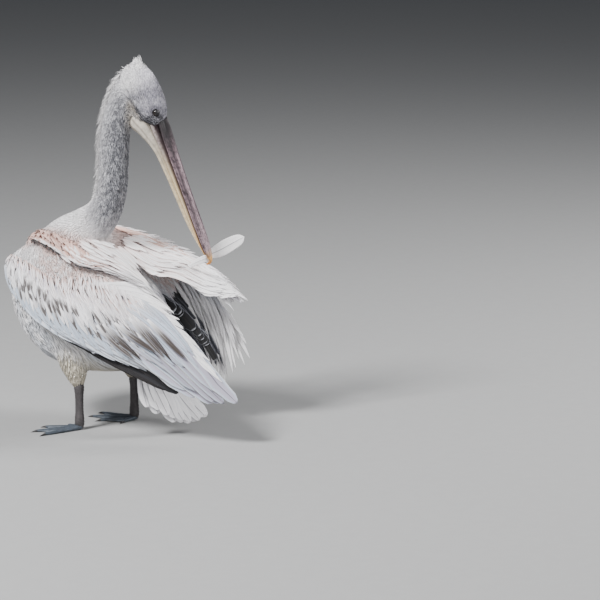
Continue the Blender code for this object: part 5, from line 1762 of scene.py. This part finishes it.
@dataclass
class Bill:
    """The long bill: upper mandible with its ridge and nail, lower mandible, and the pouch below."""

    # millimetres: forward, above, half width, half height above, half height below
    upper_rows: tuple = (
        (-6, 2, 15, 11, 7), (12, 2, 17.2, 11.2, 7.8), (40, 1, 18.2, 9.8, 7.5), (90, -0.5, 17.5, 8, 6.5),
        (160, -1.5, 17.2, 6.6, 5.5), (230, -2, 18, 5.6, 4.5), (280, -2, 17.2, 4.8, 3.8),
        (306, -2.2, 13.5, 4.2, 2.6), (316, -2.4, 10, 4, 2.2))
    nail_rows: tuple = (
        (308, -1.8, 6, 3, 1), (316.4, -2.6, 9.6, 4, 2.6), (323, -3.8, 7.5, 4, 3), (329, -7, 5.5, 3.6, 3.4),
        (332.5, -12.5, 3.6, 2.6, 2.8), (332.5, -17.5, 0.8, 0.8, 0.8))
    lower_rows: tuple = (
        (-4, -17, 18, 6.6, 8), (35, -14.8, 18.5, 6.8, 8.5), (90, -13.5, 16.5, 5.8, 8), (160, -12.5, 15, 5, 7),
        (230, -11.5, 14, 4.2, 6), (280, -11.2, 11.5, 3.4, 4.8), (306, -10.8, 7, 2.4, 3.2),
        (314, -10.8, 2.4, 1.2, 1.6))
    pouch_rows: tuple = (
        (-33, -64, 11, 15, 12), (-24, -60, 18, 23, 19), (-12, -54, 20, 24.5, 20), (5, -45, 20, 21, 17),
        (50, -31, 16.5, 12, 10.5), (100, -26.5, 14.5, 9, 8), (170, -23, 12.8, 7, 7), (240, -19.5, 10.5, 6, 6),
        (292, -15, 5.5, 3.4, 2.8))
    sides: int = 40
    steps: int = 120
    ridge: float = 0.22          # how far the ridge stands above the upper mandible
    groove: float = 0.16         # how deep the grooves beside it are

    def rings(self, rows: Sequence, ridged: bool = False, folds: float = 0.0) -> tuple[Array, Array, Array]:
        """Work out a mandible's rings.

        Args:
            rows: Its rows, as above.
            ridged: Whether it has the ridge and grooves of the upper mandible.
            folds: How deep loose skin falls into lengthwise folds.

        Returns:
            The rings, the place along the bill of each and the turn of each of their points.
        """
        table = curve_through(np.array(rows) / 1000, self.steps)
        spine = STANCE.on_head(table[:, 0], table[:, 1])
        _, up, left = STANCE.head_axes
        run = unit(np.gradient(spine, axis=0))
        lateral = flat_on(np.tile(left, (len(run), 1)), run)
        above = np.cross(run, lateral)
        above = np.where((above @ up)[:, None] < 0, -above, above)
        turn = np.linspace(0, 2 * np.pi, self.sides, endpoint=False)[None]
        tall = np.where(np.sin(turn) > 0, table[:, 3:4], table[:, 4:5])
        wave = np.ones_like(tall * turn)
        if ridged:
            crest = np.exp(-((turn - np.pi / 2) / 0.30) ** 2) * self.ridge
            dips = np.exp(-((np.abs(turn - np.pi / 2) - 0.62) / 0.20) ** 2) * self.groove
            wave = wave + (crest - dips) * ramp(0.31, 0.20, table[:, 0:1])
        if folds:
            wave = wave + folds * np.sin(turn * 9 + 14 * table[:, 0:1]) * ramp(0.3, 0.1, table[:, 0:1])
        wide = np.maximum(table[:, 2:3], 0.4 * MM) * np.cos(turn)
        high = np.maximum(tall, 0.4 * MM) * np.sin(turn) * wave
        points = spine[:, None] + lateral[:, None] * wide[..., None] + above[:, None] * high[..., None]
        return points, table[:, 0:1] * np.ones_like(turn), turn * np.ones_like(wave)

    def build(self) -> bpy.types.Object:
        """Build the bill and give the pouch, which belongs to the skin.

        Returns:
            The pouch.
        """
        run = tuple(STANCE.head_axes[0])
        horn = Horn("bill_sheath", streak=1.7 * MM, depth=0.55, axis=run).material()
        plain = Horn("nail_horn", depth=0.12, axis=run).material()
        wine, amber = Tone.WINE.rgb, Tone.AMBER.rgb
        points, place, turn = self.rings(self.upper_rows, ridged=True)
        rim = np.exp(-((np.abs(turn - np.pi / 2) - 1.35) / 0.30) ** 2)
        band = np.exp(-((np.abs(turn - np.pi / 2) - 0.66) / 0.30) ** 2)
        spots = ramp(0.56, 0.66, blotches(points.reshape(-1, 3), 3.2 * MM, 12)).reshape(place.shape)
        stain = 0.95 * band * ramp(0.31, 0.20, place) + 0.60 * rim + 0.45 * spots
        colour = mix(Tone.LILAC.rgb, wine, np.clip(stain, 0, 0.94))
        colour = mix(colour, Tone.ASH.rgb, ramp(0.100, 0.012, place) * 0.93)
        colour = mix(colour, amber, ramp(0.295, 0.316, place) * 0.7)
        settle(swept("bill_upper_sheath", points, colour, horn), "mandible_upper", "bill_upper")
        points, place, turn = self.rings(self.nail_rows)
        colour = mix(amber, Tone.ORANGE.rgb, ramp(0.320, 0.333, place))
        settle(swept("bill_nail_horn", points, colour, plain), "nail", "bill_nail")
        points, place, turn = self.rings(self.lower_rows)
        streaks = ramp(0.50, 0.64, blotches(points.reshape(-1, 3), 3.6 * MM, 13)).reshape(place.shape)
        base = mix(Tone.DOVE.rgb, Tone.MAUVE.rgb, 0.55 * streaks + 0.2)
        colour = mix(mix(base, Tone.BUTTER.rgb, ramp(0.03, 0.15, place)), amber, ramp(0.20, 0.30, place) * 0.75)
        # painted shade: darker on its top, where it lies under the upper mandible's edge
        colour = mix(colour, wine, ramp(0.25, 0.75, np.sin(turn)) * 0.75)
        settle(swept("bill_lower_sheath", points, colour, plain), "mandible_lower", "bill_lower")
        points, place, turn = self.rings(self.pouch_rows, folds=0.035)
        skin_tone = mix(Tone.PUTTY.rgb, Tone.SAND.rgb, ramp(0.0, 0.15, place))
        lines = ramp(0.55, 0.95, np.sin(turn * 9 + 14 * place)) * ramp(0.22, 0.02, place)
        skin_tone = mix(skin_tone, Tone.TAUPE.rgb, lines * 0.6)
        leather = BareSkin("pouch_skin", plate=1.8 * MM, crease=0.12, roughness=0.55).material()
        return swept("pouch_skin", points, skin_tone, leather)


@dataclass
class Eyes:
    """Eyeballs with pupil and iris, and the half-closed lids round them."""

    centre: tuple = EYE
    radius: float = 7.5 * MM

    def ball(self, side: int) -> bpy.types.Object:
        """Build one eyeball, its colours ringed about the way it looks.

        Args:
            side: 1 for the left and -1 for the right.

        Returns:
            The piece.
        """
        body = bmesh.new()
        bmesh.ops.create_uvsphere(body, u_segments=40, v_segments=28, radius=1.0)
        _, up, left = STANCE.head_axes
        gaze = unit(left * side + 0.10 * up)
        local = np.array([vert.co for vert in body.verts])
        facing = local @ gaze
        bulge = 1.0 + 0.02 * ramp(0.2, 1.0, facing)
        place = STANCE.on_head(self.centre[0], self.centre[1], side * self.centre[2])
        for vert, spot in zip(body.verts, place + local * (self.radius * bulge)[:, None]):
            vert.co = spot
        off = np.sqrt(np.maximum(1 - facing ** 2, 0))
        iris = mix(Tone.IRIS.rgb, Tone.IRIS_RIM.rgb, ramp(0.35, 0.72, off))
        colour = mix(Tone.PUPIL.rgb, iris, ramp(0.30, 0.36, off))
        colour = mix(colour, Tone.SCLERA.rgb, ramp(0.68, 0.80, off))
        colour = np.where(facing[:, None] > 0, colour, Tone.SCLERA.rgb)
        label = "left" if side > 0 else "right"
        made = dressed("eyeball_" + label, poured("eyeball", body), colour, self.cornea())
        return settle(made, "iris", "eye_" + label)

    @staticmethod
    def cornea() -> bpy.types.Material:
        """Wet cornea over iris and pupil: mirror smooth, so that it takes a sharp highlight.

        Returns:
            The material.
        """
        if "wet_cornea" in bpy.data.materials:
            return bpy.data.materials["wet_cornea"]
        wet = {"Roughness": 0.20, "IOR": 1.38, "Coat Weight": 0.5, "Coat Roughness": 0.08}
        made, tree, shader = new_material("wet_cornea", wet)
        tree.links.new(add(tree, "Attribute", attribute_name="plumage"), shader.inputs["Base Color"])
        return made

    def lids(self, side: int, finish: bpy.types.Material, skin: Skin) -> bpy.types.Object:
        """Build the ring of bare wrinkled lids that half closes one eye and runs out into the skin.

        Args:
            side: 1 for the left and -1 for the right.
            finish: Its material.
            skin: The skin below.

        Returns:
            The piece.
        """
        rings, turns = 15, 48
        forward, up, left = STANCE.head_axes
        place = STANCE.on_head(self.centre[0], self.centre[1], side * self.centre[2])
        turn = np.linspace(0, 2 * np.pi, turns, endpoint=False)
        high = np.where(np.sin(turn) > 0, 0.40, 0.58)
        slit = np.stack([np.cos(turn) * 0.86, np.sin(turn) * high + 0.02], axis=1)
        rows = []
        for level in np.linspace(0, 1, rings):
            reach = slit * (1 - level) + np.stack([np.cos(turn) * 1.30, np.sin(turn) * 1.20], axis=1) * level
            off = np.hypot(*reach.T)
            dome = np.where(off < 0.98, np.sqrt(np.maximum(1 - off ** 2, 0.0)), 0.0)
            swell = 1.11 + 0.035 * math.sin(level * 4.5 * math.pi) * (1 - level)
            out = np.maximum(dome * swell, 0.46 - 0.80 * np.clip(off - 0.9, 0, 1))
            spot = forward * reach[:, :1] + up * reach[:, 1:] + left * side * out[:, None]
            rows.append(place + spot * self.radius)
        outside = np.array(rows)
        spots, held = skin.nearest(outside.reshape(-1, 3))
        surface = (spots + unit(skin.blend(spots, held, skin.normals)) * 0.5 * MM).reshape(outside.shape)
        outside += (surface - outside) * ramp(0.25, 0.95, np.linspace(0, 1, rings))[:, None, None]
        from_eye = outside - place
        depth = np.linalg.norm(from_eye, axis=-1, keepdims=True)
        outside = place + from_eye * np.maximum(1.0, 1.07 * self.radius / depth)
        inside = (outside - unit(outside - place) * (0.8 * MM))[::-1]
        points = np.concatenate([outside, inside])
        shade = np.linspace(0, 1, rings)[:, None] * np.ones(turns)
        colour = mix(Tone.LID_EDGE.rgb, Tone.LID.rgb, ramp(0.10, 0.95, shade))
        colour = np.concatenate([colour, colour[::-1], colour[:1]])
        return swept("lids", np.concatenate([points, points[:1]]), colour, finish, loop=True)


@dataclass
class Legs:
    """Scaled shanks and webbed feet."""

    foot_length: float = 0.096
    toes: tuple = (    # degrees outwards, share of the foot's length
        ("hallux", -62.0, 0.42), ("inner", -24.0, 0.80), ("middle", 2.0, 1.00), ("outer", 25.0, 0.96))
    turns: tuple = (("left", 44.0, 1), ("right", 20.0, -1))    # side, degrees outwards, mirror
    scute: float = 5.2 * MM                                    # from one scute to the next
    shank_rows: tuple = (    # millimetres: height, half width, half depth
        (112, 7.5, 8), (100, 9.8, 10.4), (90, 10.1, 10.8), (78, 8.6, 9.6), (60, 7.8, 9.2), (40, 8, 9.3),
        (26, 9.4, 10.2), (14, 9.8, 10.4), (5, 7.5, 8.5))
    web_sag: float = 0.16
    sides: int = 22

    def build(self, finish: bpy.types.Material, horn: bpy.types.Material) -> list[bpy.types.Object]:
        """Build both legs, which belong to the skin, and their claws.

        Args:
            finish: The bare skin's material.
            horn: The claws' material.

        Returns:
            The pieces that belong to the skin.
        """
        made = []
        for side, turn, mirror in self.turns:
            place = np.array(getattr(STANCE, "leg_" + side))
            made.append(self.shank(place, finish))
            headings = [mirror * math.radians(angle) + math.radians(turn) for _, angle, _ in self.toes]
            lengths = [self.foot_length * share for _, _, share in self.toes]
            for (label, _, _), heading, length in zip(self.toes, headings, lengths):
                made.append(self.toe(side + label, place, heading, length, finish))
            for number in range(3):
                made.append(self.web(place, headings[number:number + 2], lengths[number:number + 2], finish))
        for node in (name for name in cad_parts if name.startswith("claw_")):
            self.claw(node, horn)
        return made

    def shank(self, place: Array, finish: bpy.types.Material) -> bpy.types.Object:
        """Build a shank: an oval bone with a row of scutes down its front and an ankle knob.

        Args:
            place: Where the leg stands.
            finish: Its material.

        Returns:
            The piece.
        """
        table = curve_through(np.array(self.shank_rows) / 1000, 90)
        turn = np.linspace(0, 2 * np.pi, self.sides, endpoint=False)[None]
        front = ramp(0.2, 0.9, -np.sin(turn))
        scute = np.abs(np.sin(table[:, :1] * math.pi / self.scute)) ** 0.5
        swell = 1 + front * 0.090 * scute + 0.050 * np.sin(turn * 5 + table[:, :1] * 900)
        spot = np.zeros((90, self.sides, 3))
        spot[..., 0] = place[0] + BETWEEN_FEET[0] + table[:, 1:2] * np.cos(turn) * swell
        spot[..., 1] = place[1] + BETWEEN_FEET[1] + table[:, 2:3] * np.sin(turn) * swell
        spot[..., 2] = table[:, :1] * np.ones_like(turn)
        tint = mix(Tone.SLATE.rgb, Tone.BLACK.rgb, 0.45 * (1 - scute) * front + 0.1)
        return swept("shank", spot, tint, finish)

    def toe(self, name: str, place: Array, heading: float, length: float,
            finish: bpy.types.Material) -> bpy.types.Object:
        """Build a jointed toe that lies flat on the ground.

        Args:
            name: The toe's name.
            place: Where the leg stands.
            heading: Which way it points, in radians.
            length: How long it is.
            finish: Its material.

        Returns:
            The piece.
        """
        share = np.linspace(0, 1, 46)
        reach = length * share
        run = np.array([math.sin(heading), -math.cos(heading), 0.0])
        wide = np.array([math.cos(heading), math.sin(heading), 0.0])
        joints = 1 + 0.13 * np.cos(share * 2 * np.pi * 3.5) ** 2
        half = (0.0078 - 0.0036 * share) * joints * ramp(1.015, 0.90, share) ** 0.5 + 0.3 * MM
        tall = np.interp(share, [0, 0.12, 0.3, 1.0], [0.0125, 0.0105, 0.0082, 0.0052]) * (0.94 + 0.06 * joints)
        turn = np.linspace(0, 2 * np.pi, self.sides, endpoint=False)
        rings = np.abs(np.sin(share * length / 0.0034 * np.pi))[:, None] ** 0.5
        top = np.clip(np.sin(turn), 0, 1)[None]
        oval = 0.5 + 0.5 * np.sign(np.sin(turn)) * np.abs(np.sin(turn)) ** 0.8
        lift = tall[:, None] * oval * (1 + 0.05 * rings * top)
        across = half[:, None] * np.cos(turn)[None]
        spot = (run * reach[:, None, None] + wide * across[..., None]
                + np.array([0, 0, 1.0]) * lift[..., None])
        spot += np.array([place[0], place[1], 0.0]) + BETWEEN_FEET * np.array([1, 1, 0])
        tint = mix(Tone.STEEL.rgb, Tone.BLACK.rgb, 0.40 * (1 - rings) * top + 0.05)
        return swept("toe_" + name, spot, tint, finish)

    def web(self, place: Array, headings: Sequence, lengths: Sequence,
            finish: bpy.types.Material) -> bpy.types.Object:
        """Build the skin between two toes, drawn back at its edge and wrinkled across.

        Args:
            place: Where the leg stands.
            headings: Which way the two toes point, in radians.
            lengths: How long they are.
            finish: Its material.

        Returns:
            The piece.
        """
        base = bmesh.new()
        bmesh.ops.create_grid(base, x_segments=20, y_segments=26, size=1.0)
        spots = np.array([vert.co for vert in base.verts])
        across, outward = (spots[:, 0] + 1) / 2, (spots[:, 1] + 1) / 2
        heading = headings[0] + (headings[1] - headings[0]) * across
        edge = (lengths[0] + (lengths[1] - lengths[0]) * across) * 0.985
        edge *= 1 - self.web_sag * np.sin(np.pi * across) ** 0.7
        reach = 0.006 + (edge - 0.006) * outward
        wrinkle = 0.35 * MM * np.sin(outward * 34 + 3 * np.sin(across * 9)) * np.sin(np.pi * across)
        height = 2.0 * MM + 1.2 * MM * (1 - outward) + wrinkle + 1.1 * MM * np.abs(2 * across - 1) ** 3
        for vert, h, r, z in zip(base.verts, heading, reach, height):
            vert.co = (place[0] + BETWEEN_FEET[0] + math.sin(h) * r,
                       place[1] + BETWEEN_FEET[1] - math.cos(h) * r, z)
        bmesh.ops.recalc_face_normals(base, faces=base.faces)
        bmesh.ops.solidify(base, geom=list(base.faces), thickness=1.1 * MM)
        bmesh.ops.recalc_face_normals(base, faces=base.faces)
        mesh = poured("web", base)
        # painted highlight: the web pales towards its middle
        pale = np.resize(np.sin(np.pi * across) * 0.7, len(mesh.vertices))
        return dressed("web", mesh, mix(Tone.SLATE.rgb * 1.3, Tone.HAZE.rgb, pale), finish)

    @staticmethod
    def claw(node: str, finish: bpy.types.Material) -> None:
        """Build a curved claw where its node lies, with a rounded back and a fine point.

        Args:
            node: The claw's node.
            finish: Its material.
        """
        low, high = (np.array(corner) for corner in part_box(node))
        mid = (low + high) / 2
        side = "left" if "left" in node else "right"
        hub = np.array(getattr(STANCE, "leg_" + side) + (0.0,)) + BETWEEN_FEET
        run = unit((mid - hub) * np.array([1, 1, 0]))
        wide = np.array([-run[1], run[0], 0.0])
        span = abs((high - low)[:2] @ np.abs(run[:2])) * 0.52
        share = np.linspace(0, 1, 22)
        turn = np.linspace(0, 2 * np.pi, 16, endpoint=False)
        half = 2.7 * MM * np.maximum(1 - share, 0.0) ** 0.6 + 0.12 * MM
        tall = np.minimum(5.2 * MM * np.maximum(1 - share ** 1.6, 0.0) + 0.3 * MM, high[2])
        along = (share * 2 - 1.15) * span
        spot = (mid * np.array([1, 1, 0]) + run * along[:, None, None]
                + wide * (half[:, None] * np.cos(turn))[..., None]
                + np.array([0, 0, 1.0]) * (tall[:, None] * (0.5 + 0.5 * np.sin(turn)))[..., None])
        tint = np.ones((22, 16, 3)) * Tone.CLAW.rgb
        settle(swept(node + "_horn", spot, tint, finish), "claw", node)


def gather(skin: bpy.types.Object, parts: list[bpy.types.Object]) -> None:
    """Join bare parts, such as legs, pouch and lids, into the one skin.

    Args:
        skin: The skin's piece.
        parts: The pieces to join to it.
    """
    with bpy.context.temp_override(active_object=skin, object=skin, selected_objects=[skin, *parts],
                                   selected_editable_objects=[skin, *parts]):
        bpy.ops.object.join()


@dataclass
class HeldFeather:
    """The white scapular that the bird draws through its bill."""

    # half widths in metres, and how far the vane lies flat in the bill, from root to tip
    widths: tuple = (0.0030, 0.0065, 0.0080, 0.0040, 0.0095, 0.0150, 0.0158, 0.0120, 0.0030)
    flatness: tuple = (0.0, 0.3, 0.9, 1.0, 0.95, 0.45, 0.15, 0.0, 0.0)
    stations: int = 34

    def build(self, finish: bpy.types.Material) -> None:
        """Lay one quill along a curve through given points, in place of its node.

        Args:
            finish: The feathers' material.
        """
        forward, _, left = STANCE.head_axes
        grip = STANCE.on_head(0.3160, -0.00800)
        ahead, rising, toward = unit([(-0.515, 0.857, 0.0), (-0.164, -0.098, 0.982), (0.841, 0.505, 0.191)])
        base = grip - ahead * 0.042 - rising * 0.022 - toward * 0.004
        tip = grip + ahead * 0.080 + rising * 0.044 - toward * 0.022
        spots = (base, base * 0.5 + grip * 0.5 + toward * 0.007, grip - left * 0.0110, grip,
                 grip + left * 0.0110 + ahead * 0.001, grip * 0.70 + tip * 0.30 - toward * 0.010,
                 grip * 0.42 + tip * 0.58 - toward * 0.006, grip * 0.15 + tip * 0.85 - toward * 0.002, tip)
        table = curve_through(np.column_stack([spots, self.widths, self.flatness]), self.stations)
        run = unit(np.gradient(table[:, :3], axis=0))
        flat = np.clip(table[:, 4:5], 0, 1)
        across = flat_on(np.cross(toward, run) * (1 - flat) - forward * flat, run)
        out = np.cross(run, across)
        steps = np.linspace(0, 1, self.stations)
        blunt = np.where(steps > 0.93, np.sqrt(np.clip((1 - steps) / 0.07, 0, 1)), 1)
        half = np.clip(table[:, 3], 0.6 * MM, None) * blunt
        shape = np.abs(np.array(Section.QUILL.value)[:, 0])
        colour = np.where((shape < 0.01)[:, None], Tone.MID_GREY.rgb, Tone.SNOW.rgb)
        coat = Coat("feather_held", "white")
        coat.add(Section.QUILL, table[None, :, :3], out[None], half[None], np.array([0.6 * MM]),
                 np.tile(colour, (1, self.stations, 1, 1)), np.array([[0.5, 0.5]]))
        coat.build(finish, "held_feather")


# ---- the studio
@dataclass(frozen=True)
class Studio:
    """Pale floor, soft light and the camera."""

    azimuth: float = math.radians(121.0)
    elevation: float = math.radians(11.0)
    distance: float = 6.0
    frame_width: float = 1.32            # what the picture spans at that distance
    sensor: float = 36.0
    aim: tuple = (-0.2532, 0.2880, 0.2680)
    lamps: tuple = (("key", (3.2, -1.1, 4.0), 1.2, 590.0), ("fill", (3.9, 3.9, 1.4), 2.4, 110.0),
                    ("rim", (-2.4, 2.8, 2.8), 1.8, 250.0))    # place, size in metres, watts
    floor: float = 28.0                  # the floor's width
    grain: float = 31.0 * MM             # the size of the paper's faint clouds

    def build(self) -> None:
        """Set the floor, the lights and the camera."""
        base = bmesh.new()
        bmesh.ops.create_grid(base, x_segments=2, y_segments=2, size=self.floor / 2)
        floor = placed("floor", poured("floor", base))
        paper, tree, shader = new_material("matt_paper_floor", {"Roughness": 0.9, "Specular IOR Level": 0.1})
        spots = add(tree, "TexCoord", take="Object")
        grain = add(tree, "TexNoise", {"Vector": spots, "Scale": 1 / self.grain})
        tone = add(tree, "MapRange", {"Value": grain, "To Min": 0.29, "To Max": 0.31})
        tree.links.new(tone, shader.inputs["Base Color"])
        floor.data.materials.append(paper)
        world = bpy.data.worlds.new("studio")
        bpy.context.scene.world = world
        world.use_nodes = True
        sky = world.node_tree.nodes["Background"]
        sky.inputs["Color"].default_value = (0.86, 0.91, 1.0, 1.0)
        sky.inputs["Strength"].default_value = 0.15
        for title, place, size, power in self.lamps:
            lamp = bpy.data.lights.new(title, "AREA")
            lamp.size, lamp.energy = size, power
            made = placed(title, lamp)
            made.location = place
            made.rotation_euler = (Vector((0, 0, 0.35)) - made.location).to_track_quat("-Z", "Y").to_euler()
        back = Vector((math.sin(self.azimuth) * math.cos(self.elevation),
                       -math.cos(self.azimuth) * math.cos(self.elevation), math.sin(self.elevation)))
        lens = bpy.data.cameras.new("camera")
        lens.sensor_width = self.sensor
        lens.lens = self.sensor * self.distance / self.frame_width
        camera = placed("camera", lens)
        camera.location = Vector(self.aim) + back * self.distance
        camera.rotation_euler = (-back).to_track_quat("-Z", "Y").to_euler()
        bpy.context.scene.camera = camera


def main() -> None:
    """Build the bird from the skin outwards and report each piece."""
    logging.basicConfig(level=logging.INFO, format="%(message)s")
    skin = Skin()
    down = FeatherKeratin("down_plumage").material()
    bare = BareSkin("bare_skin").material()
    body = skin_piece(skin, down)
    eyes = Eyes()
    parts = [Bill().build(), eyes.lids(1, bare, skin), eyes.lids(-1, bare, skin)]
    parts += Legs().build(bare, Horn("claw_horn", depth=0.2).material())
    gather(body, parts)
    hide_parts("pouch", "shank_left", "shank_right", "foot_left", "foot_right")
    eyes.ball(1)
    eyes.ball(-1)
    BodyPlumage(Plumage(skin)).build(down)
    vane = FeatherKeratin("long_vane", barbs=True, shaft_dark=0.25).material()
    Quills().build(vane)
    HeldFeather().build(vane)
    Studio().build()


if __name__ == "__main__":
    main()
